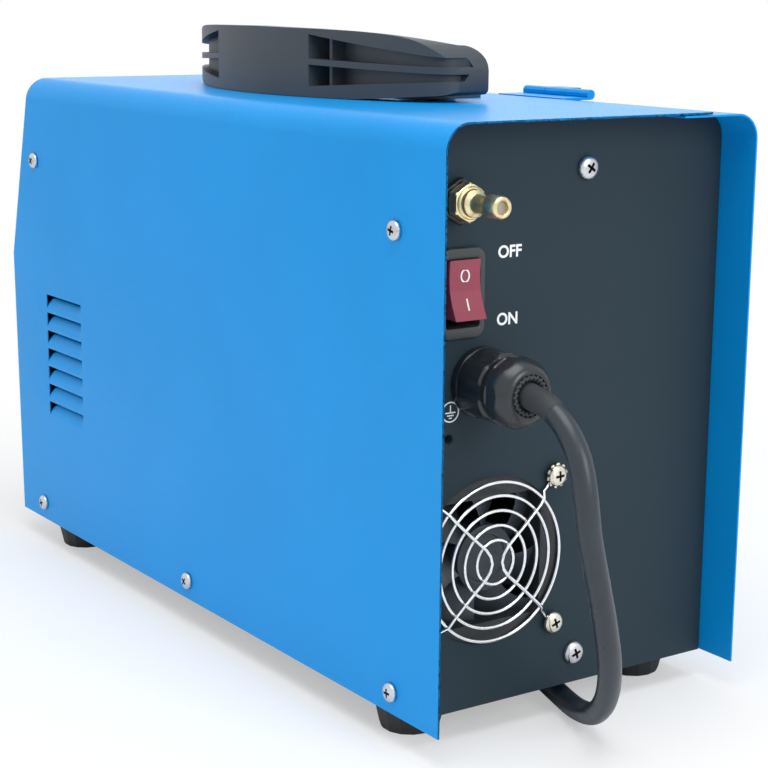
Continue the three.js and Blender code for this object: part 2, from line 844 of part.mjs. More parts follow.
const coilWayIn = coilDirection(0);
const beforeCoil = (distance) => coilSpiral(0).addScaledVector(coilWayIn, -distance).toArray();
const cordPoints = [
  [glandX, rearFace - 10, floorZ + glandZ],
  [glandX, rearFace + 8, floorZ + glandZ],
  [glandX, rearFace + 25, floorZ + glandZ],
  [glandX, rearFace + glandReach, floorZ + glandZ],
  [62, 293.4, 192],
  [62, 307.4, 183.4],
  [62, 317.4, 170.4],
  [62, 321.9, 156.3],
  [59.5, 323.6, 133],
  [52.5, 322.8, 108],
  [42.5, 318.5, 81],
  [31.5, 310, 55.5],
  [20.5, 295.5, 32.5],
  [10, 274.5, 15],
  [1, 250.5, lieZ + 1],
  [-7, 224, lieZ],
  [-16, 197, lieZ],
  [-30, 170, lieZ],
  [-50, 147, lieZ],
  [-75, 128.5, lieZ],
  [-104, 118, lieZ],
  beforeCoil(coilLeadIn + 56),
  beforeCoil(coilLeadIn + 28),
  beforeCoil(coilLeadIn + seat),
];

class LeadRun extends THREE.CatmullRomCurve3 {
  constructor() {
    super(cordPoints.map((point) => new THREE.Vector3(...point)), false, "centripetal");
  }
}

// The least distance between walls of a line that comes back past itself.
function leastGap(curve, samples, diameter) {
  const points = curve.getSpacedPoints(samples);
  const step = curve.getLength() / samples;
  const apart = Math.ceil((4 * diameter) / step);
  let least = Infinity;
  for (let i = 0; i < points.length; i += 1) {
    for (let k = i + apart; k < points.length; k += 1) {
      least = Math.min(least, points[i].distanceTo(points[k]) - diameter);
    }
  }
  return least;
}

const leadRun = new LeadRun();
const coilRun = new CoilRun();
const coilSteps = Math.round(24 * (coilTurns + 0.25));
console.log(`least gap in the coil ${leastGap(coilRun, 600, 2 * cordRadius).toFixed(2)} mm`);
console.log(`lead ${leadRun.getLength().toFixed(0)} mm, coil ${coilRun.getLength().toFixed(0)} mm`);

const leadSteps = Math.round(leadRun.getLength() / (2.2 * cordRadius));
piece("power_cord", "cordRubber", bar(leadRun, cordRadius, leadSteps, 10));
piece("power_cord_coil", "cordRubber", bar(coilRun, cordRadius, coilSteps, 6));

// The plug lies beside the coil, in line with the coil's outer end.
function powerPlug() {
  const grip = turned("y", [0, 0, 0], [
    [0, 0],
    [cordRadius + 1.5, 0],
    [cordRadius + 3, 14],
    [cordRadius + 4.5, 24],
    [plugRadius * 0.8, 30],
    [plugRadius * 0.92, 40],
    [plugRadius, 52],
    [plugRadius, 24 + plugLength],
    [0, 24 + plugLength],
  ], medium);
  const pin = (x) => rod("y", [x, 23 + plugLength, 0], 20, 2.4, 2.1, small);
  const notch = (x) => block(x - 3, x + 3, 52, 25 + plugLength, -3, 3);
  return grip
    .subtract(notch(-plugRadius))
    .subtract(notch(plugRadius))
    .add(pin(-9.5))
    .add(pin(9.5));
}

const coilEnd = coilRun.getPoint(1);
const coilWay = coilRun.getTangent(1);
const plug = piece("power_plug", "blackPlastic", powerPlug());
plug.rotation.z = Math.atan2(-coilWay.x, coilWay.y);
plug.position.copy(coilEnd).addScaledVector(coilWay, seat);

// ---------------------------------------------------------------- feet

const footY = rearEdge - footInset;
for (const [end, y] of [["front", -footY], ["rear", footY]]) {
  for (const [side, x] of [["left", -footX], ["right", footX]]) {
    const foot = turned("z", [x, y, 0], [
      [0, 4],
      [5, 4],
      [5, 0],
      [footBottomRadius - 1, 0],
      [footBottomRadius, 1.5],
      [footTopRadius, footHeight - seat],
      [0, footHeight - seat],
    ], medium);
    piece(`foot_${end}_${side}`, "rubber", foot);
  }
}

// ---------------------------------------------------------------- handle

const handlePivot = new THREE.Vector3(handlePivotX, 0, topZ + handlePivotZ);
const arcCentreX = handleReach - handleArc;
const armInner = bracketInner + bracketThickness + 1;

const cornerY = handleHalfLength - handleCorner;
const cornerReach = Math.sqrt((handleArc - handleCorner) ** 2 - cornerY ** 2);
const cornerX = arcCentreX + cornerReach;
const cornerSwing = Math.atan2(cornerY, cornerReach);

// Seen from above: the palm bar's curved outer face, rounded corners, and arms that run
// back to the pivot.
function handlePlan() {
  const back = handlePivotX - handleEyeRadius;
  const bend = handlePivotX + earRadius + 4; // where the arms' inner side leaves the bracket
  const shape = new THREE.Shape();
  shape.moveTo(back, -handleHalfLength);
  shape.absarc(cornerX, -cornerY, handleCorner, -Math.PI / 2, -cornerSwing);
  shape.absarc(arcCentreX, 0, handleArc, -cornerSwing, cornerSwing);
  shape.absarc(cornerX, cornerY, handleCorner, cornerSwing, Math.PI / 2);
  shape.lineTo(back, handleHalfLength);
  shape.lineTo(back, armInner);
  shape.lineTo(bend, armInner);
  shape.quadraticCurveTo(palmInnerX - 2, armInner, palmInnerX, palmHalfLength);
  shape.lineTo(palmInnerX, -palmHalfLength);
  shape.quadraticCurveTo(palmInnerX - 2, -armInner, bend, -armInner);
  shape.lineTo(back, -armInner);
  return shape;
}

// Seen from the side: level in the middle, tapering in height towards both ends.
function handleSide() {
  const low = topZ + seat;
  const high = topZ + handleHeight;
  const end = handleHalfLength + 1;
  return outline([
    [-end, low + handleEndRise],
    [-handleKnee, low],
    [handleKnee, low],
    [end, low + handleEndRise],
    [end, high - handleEndDrop],
    [handleKnee, high],
    [-handleKnee, high],
    [-end, high - handleEndDrop],
  ]);
}

// The back wall of the pockets on one side, seen from above: it follows the outer face
// from the palm round the corner, ever less deep.
function pocketPlan(side, from, to) {
  const depthAt = (y) => {
    const share = (y - palmHalfLength) / (cornerY - palmHalfLength);
    return THREE.MathUtils.lerp(pocketDepth.palm, pocketDepth.end, Math.min(share, 1));
  };
  const faceAt = (y) => arcCentreX + Math.sqrt(handleArc ** 2 - y ** 2);
  const points = [];
  const last = Math.min(to, handleArc * Math.sin(cornerSwing));
  const steps = last - from > 20 ? 5 : 1;
  for (let k = 0; k <= steps; k += 1) {
    const y = from + ((last - from) * k) / steps;
    points.push([faceAt(y) - depthAt(y), y]);
  }
  if (to > last) {
    const radius = handleCorner - pocketDepth.end;
    for (let k = 1; k <= 4; k += 1) {
      const angle = THREE.MathUtils.lerp(cornerSwing, Math.PI / 2, k / 4);
      points.push([cornerX + radius * Math.cos(angle), cornerY + radius * Math.sin(angle)]);
    }
    points.push([pocketEndX, handleHalfLength - pocketDepth.end / 2]);
    points.push([pocketEndX, handleHalfLength + 2], [handleReach + 2, handleHalfLength + 2]);
  } else {
    points.push([handleReach + 2, to]);
  }
  points.push([handleReach + 2, from]);
  return outline(points.map(([x, y]) => [x, side * y]));
}

// Two rows of pockets at each end of the outer face, split by a thin upright rib.
function handlePockets() {
  const cuts = [];
  for (const side of [-1, 1]) {
    for (const { low, high } of pocketRows) {
      const row = plate(
        "x",
        outline([
          [side * palmHalfLength, topZ + low[0]],
          [side * (handleHalfLength + 3), topZ + low[1]],
          [side * (handleHalfLength + 3), topZ + high[1]],
          [side * palmHalfLength, topZ + high[0]],
        ]),
        pocketEndX - 1,
        handleReach + 3,
      );
      for (const [from, to] of [
        [palmHalfLength, pocketRib.from],
        [pocketRib.to, handleHalfLength],
      ]) {
        const plan = plate("z", pocketPlan(side, from, to), topZ - 1, topZ + handleHeight);
        cuts.push(plan.intersect(row));
      }
    }
  }
  return wasm.Manifold.union(cuts);
}

// The arms' ends are round above the pivot, and below it they stay clear of the top as
// the handle swings.
function carryHandle() {
  const plan = plate("z", handlePlan(), topZ - 1, topZ + handleHeight + 1, coarse);
  const bar = plan.intersect(plate("x", handleSide(), -100, 100)).subtract(handlePockets());
  const { x, z } = handlePivot;
  const across = (radius, sides) => rod("y", [x, -200, z], 400, radius, radius, sides);
  const above = block(x - 40, x, -200, 200, z, topZ + 60);
  const below = block(x - 40, x, -200, 200, topZ - 10, z);
  return bar
    .subtract(above.subtract(across(handleEyeRadius, fine)))
    .subtract(below.subtract(across(handlePivotZ - running, fine)))
    .subtract(across(handlePinRadius + seat, coarse));
}

piece("carry_handle", "handlePlastic", carryHandle());

// A bracket: foot plate, rounded ear and the pin that carries one arm of the handle.
function handleBracket(side) {
  const inner = side * bracketInner;
  const outer = side * (bracketInner + bracketThickness);
  const [y0, y1] = inner < outer ? [inner, outer] : [outer, inner];
  const ear = new THREE.Shape();
  const { x, z } = handlePivot;
  ear.moveTo(x - earRadius - 4, topZ + seat);
  ear.lineTo(x + earRadius + 2, topZ + seat);
  ear.lineTo(x + earRadius, z);
  ear.absarc(x, z, earRadius, 0, Math.PI);
  const { length, width, thickness, corner } = bracketFoot;
  const plateShape = roundedRectangle(length, width, corner, x - 12, side * (bracketInner - 6));
  const foot = plate("z", plateShape, topZ + seat, topZ + seat + thickness);
  const pinFrom = bracketInner + bracketThickness - 1;
  const pinTo = armInner + 15;
  const pin = rod("y", [x, side > 0 ? pinFrom : -pinTo, z], pinTo - pinFrom,
    handlePinRadius, handlePinRadius, coarse);
  return foot.add(plate("y", ear, y0, y1, 12)).add(pin);
}

piece("handle_bracket_front", "handlePlastic", handleBracket(-1));
piece("handle_bracket_rear", "handlePlastic", handleBracket(1));

// ---------------------------------------------------------------- front panel

// The panel follows the casing's nose in two facets. Pieces on a facet are drawn with z
// standing out of it and y running up it.
const vertexZ = floorZ + noseHeight;
const lowerLean = Math.atan2(noseBottomSetback, noseHeight);
const upperLean = Math.atan2(noseTopSetback, casingHeight - noseHeight);

function facet(lean, z) {
  const group = new THREE.Group();
  group.position.set(0, noseY(z, endRecess), z);
  group.rotation.set(Math.PI / 2 + lean, 0, 0);
  group.updateMatrixWorld(true);
  welder.add(group);
  return group;
}

const lowerFacet = facet(lowerLean, floorZ + 80);
const upperFacet = facet(-upperLean, vertexZ + 58);

const socketPlaces = { torch: [wireX, wireZ - floorZ - 80], positive: [22, -22], negative: [72, -22] };
const knobPlaces = { voltage: [-58, -12], wireSpeed: [58, -12] };
const displayPlace = [0, 24];
const displaySize = { width: 78, height: 30 };
const buttonPlace = [0, -16];
const buttonRadius = 6;
const knobShaftRadius = 3;
const knobShaftLength = 9;
const knobFlutes = 9;
const socketThreadRadius = 12;
const torchThreadRadius = 16;

function cutFrom(group, solid) {
  const geometry = geometryOf(solid);
  geometry.applyMatrix4(group.matrixWorld);
  return solidOf(geometry);
}

function frontPanel() {
  const high = panelTopZ + 1;
  const back = (inset) => (z) => noseY(z, inset);
  const flangeEnd = back(endRecess + frontFlange);
  const outside = plate("y", endOutline(panelHalf, floorZ, panelTopZ, panelBend), frontEdge, 0)
    .intersect(
      plate("x", sideOutline(endRecess, floorZ, high, flangeEnd), -panelHalf - 1, panelHalf + 1),
    );
  const inside = plate(
    "y",
    endOutline(panelHalf - sheet, floorZ - 1, panelTopZ - sheet, panelBend - sheet),
    frontEdge,
    0,
  ).intersect(
    plate(
      "x",
      sideOutline(endRecess + sheet, floorZ - 1, high, back(endRecess + frontFlange + 1)),
      -panelHalf - 1,
      panelHalf + 1,
    ),
  );
  const hole = (group, [x, y], radius) =>
    cutFrom(group, rod("z", [x, y, -4], 8, radius + seat, radius + seat, fine));
  const holes = [
    screwBore,
    hole(lowerFacet, socketPlaces.torch, torchThreadRadius),
    hole(lowerFacet, socketPlaces.positive, socketThreadRadius),
    hole(lowerFacet, socketPlaces.negative, socketThreadRadius),
    hole(upperFacet, knobPlaces.voltage, knobShaftRadius + running),
    hole(upperFacet, knobPlaces.wireSpeed, knobShaftRadius + running),
    hole(upperFacet, buttonPlace, buttonRadius + running),
  ];
  return outside.subtract(inside).subtract(wasm.Manifold.union(holes));
}

piece("front_panel", "blackPaint", frontPanel());

function weldingSocket(name, [x, y]) {
  const body = turned("z", [0, 0, 0], [
    [6.6, -14],
    [socketThreadRadius, -14],
    [socketThreadRadius, seat],
    [socketRadius, seat],
    [socketRadius, 9],
    [socketRadius - 2, 12],
    [socketRadius - 2, 19],
    [socketRadius - 3.5, 20.5],
    [6.6, 20.5],
    [6.6, -14],
  ], fine);
  const mesh = piece(name, "blackPlastic", body, lowerFacet);
  mesh.position.set(x, y, 0);
}

function torchSocket() {
  const flange = plate("z", roundedRectangle(58, 58, 8), seat, 6);
  const body = turned("z", [0, 0, 0], [
    [0, -20],
    [torchThreadRadius, -20],
    [torchThreadRadius, 5],
    [torchRadius, 5],
    [torchRadius, 16],
    [torchRadius - 1.5, 17.5],
    [torchRadius - 1.5, 23],
    [0, 23],
  ], fine);
  const bore = rod("z", [0, 0, -21], 45, 5, 5, coarse);
  const pinHole = (y) => rod("z", [10, y, 12], 12, 2.2, 2.2, small);
  return flange.add(body).subtract(bore).subtract(pinHole(5)).subtract(pinHole(-5));
}

piece("torch_socket", "brass", torchSocket(), lowerFacet).position.set(...socketPlaces.torch, 0);
weldingSocket("positive_socket", socketPlaces.positive);
weldingSocket("negative_socket", socketPlaces.negative);

// A knob with a skirt, flutes round its grip and a shaft through the panel.
function knob() {
  let body = turned("z", [0, 0, 0], [
    [0, -knobShaftLength],
    [knobShaftRadius, -9],
    [knobShaftRadius, running],
    [knobRadius, running],
    [knobRadius, 3.5],
    [knobRadius * 0.82, 4.5],
    [knobRadius * 0.76, knobHeight - 1],
    [knobRadius * 0.7, knobHeight],
    [0, knobHeight],
  ], medium);
  for (let i = 0; i < knobFlutes; i += 1) {
    const angle = (2 * Math.PI * (i + 0.5)) / knobFlutes;
    const reach = knobRadius * 0.93;
    body = body.subtract(
      rod("z", [reach * Math.cos(angle), reach * Math.sin(angle), 5], knobHeight, 3, 3, small),
    );
  }
  return body;
}

piece("voltage_knob", "blackPlastic", knob(), upperFacet).position.set(...knobPlaces.voltage, 0);
piece("wire_speed_knob", "blackPlastic", knob(), upperFacet).position.set(...knobPlaces.wireSpeed, 0);

const button = turned("z", [0, 0, 0], [
  [0, -6],
  [buttonRadius, -6],
  [buttonRadius, 3],
  [buttonRadius - 1, 4],
  [0, 4],
], medium);
piece("mode_button", "redPlastic", button, upperFacet).position.set(...buttonPlace, 0);

const display = plate("z", roundedRectangle(displaySize.width, displaySize.height, 3), seat, 2.4);
piece("display_window", "darkGlass", display, upperFacet).position.set(...displayPlace, 0);

// ---------------------------------------------------------------- divider and inner parts

const panTop = floorZ + sheet + seat;
const feedPlate = { thickness: 20, ahead: 45, behind: 48, below: 28, above: 58, corner: 6 };
const feedFront = driveY - feedPlate.ahead;
const feedRear = driveY + feedPlate.behind;
const plateFace = dividerX - seat - feedPlate.thickness;
const motor = { radius: 29, length: 87, flange: 30, bearing: 16 };
const driveZ = wireZ - driveRadius - rollGap / 2;
const pressureZ = wireZ + pressureRadius + rollGap / 2;
const shaftRadius = 5;

const divider = { flange: 14, foot: 16, clear: 30 };

function dividerPanel() {
  const high = panelTopZ - sheet - seat;
  const front = endRecess + frontFlange * 0.3;
  const shape = sideOutline(front, panTop, high, rearStraight(rearInner));
  const wall = plate("x", shape, dividerX, dividerX + sheet);
  const folded = (z) =>
    block(
      dividerX - divider.foot,
      dividerX + 1,
      noseY(z, front) + divider.clear,
      rearInner - divider.clear,
      z,
      z + sheet,
    );
  const rearFlange = block(
    dividerX,
    dividerX + divider.flange,
    rearInner - sheet,
    rearInner,
    panTop + 4,
    high - 4,
  );
  const screwHole = (rise) => {
    const start = [rearScrewX, rearInner - sheet - 1, floorZ + rise];
    return rod("y", start, sheet + 2, holeForScrew, holeForScrew, small);
  };
  const shaftHole = rod(
    "x",
    [dividerX - 1, driveY, driveZ],
    sheet + 2,
    shaftRadius + 2,
    shaftRadius + 2,
    coarse,
  );
  return wall
    .add(rearFlange)
    .add(folded(panTop))
    .add(folded(high - sheet))
    .subtract(shaftHole)
    .subtract(screwHole(rearScrewLowZ))
    .subtract(screwHole(rearScrewHighZ));
}

piece("divider_panel", "steel", dividerPanel());

// Wire feeder: a block that carries the drive roll, the wire guides and the pressure arm's
// pin.
const armPivotY = driveY - 36;
const armPivotZ = pressureZ + 12;
const armPinRadius = 4;
const leverY = driveY + 38;
const leverZ = wireZ - 14;
const leverHalf = 8; // half the length of the arm's forked end
const armTop = pressureZ + 18;
const guideSize = 6;

function feederBlock() {
  const body = plate(
    "x",
    roundedRectangle(
      feedRear - feedFront,
      feedPlate.above + feedPlate.below,
      feedPlate.corner,
      (feedRear + feedFront) / 2,
      wireZ + (feedPlate.above - feedPlate.below) / 2,
    ),
    plateFace,
    dividerX - seat,
  );
  const boreRadius = shaftRadius + running;
  const boreStart = [plateFace - 1, driveY, driveZ];
  const bearing = rod("x", boreStart, feedPlate.thickness + 2, boreRadius, boreRadius);
  const guide = (from, to) =>
    block(
      wireX - guideSize,
      plateFace + 1,
      from,
      to,
      wireZ - guideSize,
      wireZ + guideSize,
    ).subtract(rod("y", [wireX, from - 1, wireZ], to - from + 2, 1.6, 1.6, small));
  const pin = (y, z) => {
    const start = wireX - guideSize;
    return rod("x", [start, y, z], plateFace + 1 - start, armPinRadius, armPinRadius, coarse);
  };
  return body
    .subtract(bearing)
    .add(guide(feedFront, driveY - driveRadius - 4))
    .add(guide(driveY + driveRadius + 4, leverY - leverHalf))
    .add(pin(armPivotY, armPivotZ))
    .add(pin(leverY, leverZ));
}

piece("feeder_block", "aluminium", feederBlock());

const motorFace = dividerX + sheet + seat;
const feedMotor = turned("x", [motorFace, driveY, driveZ], [
  [0, motor.bearing],
  [shaftRadius + running, motor.bearing],
  [shaftRadius + running, 0],
  [motor.radius, 0],
  [motor.radius, motor.flange],
  [motor.radius - 4, motor.flange + 3],
  [motor.radius - 4, motor.length - 3],
  [motor.radius - 7, motor.length],
  [0, motor.length],
], fine);
piece("feed_motor", "steel", feedMotor);

// The drive roll with its groove and its shaft through to the motor.
const rollHalf = 5.5;
const driveRoll = turned("x", [wireX, driveY, driveZ], [
  [0, -rollHalf - 4],
  [9, -rollHalf - 4],
  [9, -rollHalf],
  [driveRadius - 1, -rollHalf],
  [driveRadius, -rollHalf + 1],
  [driveRadius, -1],
  [driveRadius - 0.8, 0],
  [driveRadius, 1],
  [driveRadius, rollHalf - 1],
  [driveRadius - 1, rollHalf],
  [shaftRadius, rollHalf],
  [shaftRadius, motorFace + motor.bearing - 2 - wireX],
  [0, motorFace + motor.bearing - 2 - wireX],
], fine);
piece("drive_roll", "steel", driveRoll);

// The pressure arm: a lever from its pin, over the pressure roll, to a forked end that
// the tension screw drops into.
const armFace = wireX + rollHalf + 1.5;
const armThickness = plateFace - seat - armFace;
const rollPinRadius = 3.5;

function pressureArm() {
  const shape = new THREE.Shape();
  shape.absarc(armPivotY, armPivotZ, 9, Math.PI / 2, Math.PI * 1.5);
  shape.lineTo(driveY - 6, pressureZ - 7);
  shape.lineTo(driveY + 6, pressureZ - 7);
  shape.lineTo(leverY + leverHalf, armTop - 10);
  shape.lineTo(leverY + leverHalf, armTop);
  shape.lineTo(driveY, armTop + 1);
  const lever = plate("x", shape, armFace, armFace + armThickness);
  const eyeRadius = armPinRadius + running;
  const eyeStart = [armFace - 1, armPivotY, armPivotZ];
  const eye = rod("x", eyeStart, armThickness + 2, eyeRadius, eyeRadius, coarse);
  const pinX = wireX - rollHalf - 1;
  const pinLength = armFace + 1 - pinX;
  const pin = rod("x", [pinX, driveY, pressureZ], pinLength, rollPinRadius, rollPinRadius, coarse);
  const shelf = block(
    wireX - 7,
    armFace + 1,
    leverY - leverHalf,
    leverY + leverHalf,
    armTop - 6,
    armTop,
  );
  const slot = block(wireX - 4, wireX + 4, leverY - 4, leverY + leverHalf + 1, pressureZ, armTop + 1);
  return lever.add(shelf).subtract(slot).subtract(eye).add(pin);
}

piece("pressure_arm", "aluminium", pressureArm());

const pressureRoll = turned("x", [wireX, driveY, pressureZ], [
  [rollPinRadius + seat, -rollHalf],
  [pressureRadius - 1, -rollHalf],
  [pressureRadius, -rollHalf + 1],
  [pressureRadius, rollHalf - 1],
  [pressureRadius - 1, rollHalf],
  [rollPinRadius + seat, rollHalf],
  [rollPinRadius + seat, -rollHalf],
], fine);
piece("pressure_roll", "steel", pressureRoll);

// The tension screw, swung back to free the arm: an eye on its pin, a screw and a knob.
// The knob starts far enough out to swing in over the arm's forked end.
const tensionSwing = 50; // degrees back from upright
const tension = { eye: 7.5, width: 9, stem: 2.6, grip: 9, gripLength: 25, clear: 3.6 };
const gripStart = Math.hypot(armTop - leverZ, leverHalf) + tension.clear;

function tensionScrew() {
  const eye = rod("x", [-tension.width / 2, 0, 0], tension.width, tension.eye, tension.eye, coarse);
  const stem = rod("z", [0, 0, 3], gripStart, tension.stem, tension.stem, coarse);
  const grip = turned("z", [0, 0, gripStart], [
    [0, 0],
    [tension.grip - 2, 0],
    [tension.grip, 4],
    [tension.grip, tension.gripLength - 3],
    [tension.grip - 1.5, tension.gripLength],
    [0, tension.gripLength],
  ], medium);
  const bore = rod(
    "x",
    [-tension.width, 0, 0],
    2 * tension.width,
    armPinRadius + running,
    armPinRadius + running,
    coarse,
  );
  return eye.add(stem).subtract(bore).add(grip);
}

const tensionMesh = piece("tension_screw", "blackPlastic", tensionScrew());
tensionMesh.position.set(wireX, leverY, leverZ);
tensionMesh.rotation.x = THREE.MathUtils.degToRad(-tensionSwing);

// Spool hub on its axle.
const axleLength = 78;
const axleFlange = { radius: 26, thickness: 6 };
const axle = turned("x", [dividerX - seat, spindleY, spindleZ], [
  [0, -axleLength],
  [axleRadius, -axleLength],
  [axleRadius, -axleFlange.thickness],
  [axleFlange.radius, -axleFlange.thickness],
  [axleFlange.radius, 0],
  [0, 0],
], fine);
piece("spool_axle", "steel", axle);

const hubEnd = dividerX - seat - axleFlange.thickness - seat;
const hub = { flange: 12, thickness: 6, taper: 5, pinReach: 3, pinRadius: 3 };
const hubProfile = [
  [axleRadius + running, -spindleLength - hub.taper],
  [spindleRadius - 3, -spindleLength - hub.taper],
  [spindleRadius, -spindleLength],
  [spindleRadius, -hub.thickness],
  [spindleRadius + hub.flange, -hub.thickness],
  [spindleRadius + hub.flange, 0],
  [axleRadius + running, 0],
  [axleRadius + running, -spindleLength - hub.taper],
];
const pinY = spindleY + spindleRadius + hub.flange - 5;
const spoolHub = turned("x", [hubEnd, spindleY, spindleZ], hubProfile, medium).add(
  rod(
    "x",
    [hubEnd - hub.thickness - hub.pinReach, pinY, spindleZ],
    hub.pinReach + 2,
    hub.pinRadius,
    hub.pinRadius,
    small,
  ),
);
piece("spool_hub", "blackPlastic", spoolHub);

const nut = { radius: 20, length: 9 };
const nutStart = hubEnd - spindleLength - hub.taper - running;
const spoolNut = turned("x", [nutStart, spindleY, spindleZ], [
  [axleRadius + seat, -nut.length],
  [nut.radius - 2, -nut.length],
  [nut.radius, 2 - nut.length],
  [nut.radius, -2],
  [nut.radius - 6, 0],
  [axleRadius + seat, 0],
  [axleRadius + seat, -nut.length],
]);
piece("spool_nut", "blackPlastic", spoolNut);

// Power electronics beside the divider.
const boardZ = panTop + 12;
const boardThickness = 1.6;
const board = {
  left: dividerX + sheet + 10,
  right: innerHalf - 9,
  front: frontEdge + 142,
  rear: rearInner - 43,
};
const boardMiddle = (board.front + board.rear) / 2;
const partsZ = boardZ + boardThickness + seat; // what stands on the board

function mainBoard() {
  const slab = block(
    board.left,
    board.right,
    board.front,
    board.rear,
    boardZ,
    boardZ + boardThickness,
  );
  const legs = [];
  for (const x of [board.left + 6, board.right - 6]) {
    for (const y of [board.front + 8, boardMiddle, board.rear - 8]) {
      legs.push(rod("z", [x, y, panTop], boardZ - panTop + 0.5, 4, 4, small));
    }
  }
  return slab.add(wasm.Manifold.union(legs));
}
piece("main_board", "board", mainBoard());

// Heat sink: a base with fins that run along the cooling air.
const sink = { fins: 9, height: 42, base: 8, inset: 3, fin: 3.3, length: 124, behind: 8 };

function heatSink() {
  const left = board.left + sink.inset;
  const right = board.right - sink.inset;
  const pitch = (right - left - sink.fin) / (sink.fins - 1);
  const rear = board.rear - sink.behind;
  const slab = (from, to, high) => block(from, to, rear - sink.length, rear, partsZ, partsZ + high);
  let solid = slab(left, right, sink.base);
  for (let i = 0; i < sink.fins; i += 1) {
    solid = solid.add(slab(left + i * pitch, left + i * pitch + sink.fin, sink.height));
  }
  return solid;
}
piece("heat_sink", "aluminium", heatSink());

// Transformer: a ferrite frame with a middle limb, round a wound bobbin.
const core = { width: 60, depth: 36, height: 56, wall: 12, ahead: 50 };
const winding = { width: 30, depth: 62, corner: 13 };

function transformer() {
  const x = (board.left + board.right) / 2;
  const y = board.front + core.ahead + core.depth / 2;
  const box = (width, depth, low, high) =>
    block(x - width / 2, x + width / 2, y - depth / 2, y + depth / 2, partsZ + low, partsZ + high);
  const window = box(core.width - 2 * core.wall, core.depth + 2, core.wall, core.height - core.wall);
  const limb = box(core.wall, core.depth, 1, core.height - 1);
  const coil = plate(
    "z",
    roundedRectangle(winding.width, winding.depth, winding.corner, x, y),
    partsZ + core.wall + 1,
    partsZ + core.height - core.wall - 1,
  );
  return box(core.width, core.depth, 0, core.height).subtract(window).add(limb).add(coil);
}
piece("transformer", "copper", transformer());

// ---------------------------------------------------------------- door

const doorFace = -halfWidth - seat - sheet;
const axisZ = leftTopZ + hingeKnuckle + seat;
const latchPlace = [-10, floorZ + door.low + 24];
const latchShaftRadius = 4;
const latchCamReach = 24;
const strapX = -halfWidth - hingeKnuckle - 1.6;

// The door sheet lies over the opening's edge, and two straps run up over the bend to
// the hinge knuckles.
function doorLeaf() {
  const low = floorZ + door.low;
  const high = floorZ + door.high;
  const face = plate(
    "x",
    roundedRectangle(
      doorRear - doorFront,
      high - low,
      doorCorner,
      (doorRear + doorFront) / 2,
      (high + low) / 2,
    ),
    doorFace,
    doorFace + sheet,
  );
  const latchBore = latchShaftRadius + running;
  let leaf = face.subtract(rod("x", [doorFace - 2, ...latchPlace], 6, latchBore, latchBore, coarse));
  for (const y of [-hingeY, hingeY]) {
    const y0 = y - hingeLength / 6 + running / 2;
    const y1 = y + hingeLength / 6 - running / 2;
    const tongue = block(doorFace - 1, doorFace + 0.5, y0, y1, high - 30, axisZ + hingeKnuckle);
    const webTop = axisZ + hingeKnuckle;
    const web = block(doorFace - 1, hingeX, y0, y1, webTop - hingeSheet, webTop);
    const knuckle = rod("y", [hingeX, y0, axisZ], y1 - y0, hingeKnuckle, hingeKnuckle, coarse);
    const pinBore = hingePinRadius + seat;
    const bore = rod("y", [hingeX, y0 - 1, axisZ], y1 - y0 + 2, pinBore, pinBore, coarse);
    leaf = leaf.add(tongue).add(web.add(knuckle).subtract(bore));
  }
  return leaf;
}

piece("door", "bluePaint", doorLeaf());

// Fixed hinge half: a plate on the top, two outer knuckles and the pin between them.
function hingeHalf(y) {
  const start = y - hingeLength / 2;
  const end = y + hingeLength / 2;
  const third = hingeLength / 3;
  const plateZ = leftTopZ + seat;
  const leaf = block(hingeX, hingeX + hingeLeaf, start, end, plateZ, plateZ + hingeSheet);
  const outer = (a) => rod("y", [hingeX, a, axisZ], third, hingeKnuckle, hingeKnuckle, coarse);
  const room = hingeKnuckle + running;
  const clear = rod("y", [hingeX, y - third / 2 - seat, axisZ], third + 2 * seat, room, room, coarse);
  const pinStart = [hingeX, start + 1, axisZ];
  const pin = rod("y", pinStart, hingeLength - 2, hingePinRadius, hingePinRadius, coarse);
  return leaf.subtract(clear).add(outer(start)).add(outer(end - third)).add(pin);
}

piece("door_hinge_front", "bluePaint", hingeHalf(-hingeY));
piece("door_hinge_rear", "bluePaint", hingeHalf(hingeY));

// Quarter-turn latch: a grip outside, a shaft through the door and a cam inside.
function doorLatch() {
  const grip = rod("x", [-4, 0, 0], 3.6, 12, 12, medium).add(block(-11, -3, -10, 10, -2.5, 2.5));
  const shaft = rod("x", [-1, 0, 0], 8, latchShaftRadius, latchShaftRadius, coarse);
  const cam = block(4.6, 6.6, -5, latchCamReach, -4.5, 4.5);
  return grip.add(shaft).add(cam);
}

const latch = piece("door_latch", "blackPlastic", doorLatch());
latch.position.set(doorFace - 0.1, ...latchPlace);

// ---------------------------------------------------------------- origin

// The machine stands centred on the origin; the loose lead, its coil and plug don't count.
const looseLead = ["power_cord", "power_cord_coil", "power_plug"];
welder.updateMatrixWorld(true);
const extent = new THREE.Box3();
welder.traverse((node) => {
  if (node.isMesh && !looseLead.includes(node.name)) extent.expandByObject(node, true);
});
welder.position.set(
  -(extent.min.x + extent.max.x) / 2,
  -(extent.min.y + extent.max.y) / 2,
  -extent.min.z,
);

export default welder;
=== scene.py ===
"""A portable wire-feed welding machine, seen from behind: finishes, small parts and stage."""

import json
import math

import bmesh
import bpy
from mathutils import Matrix, Vector

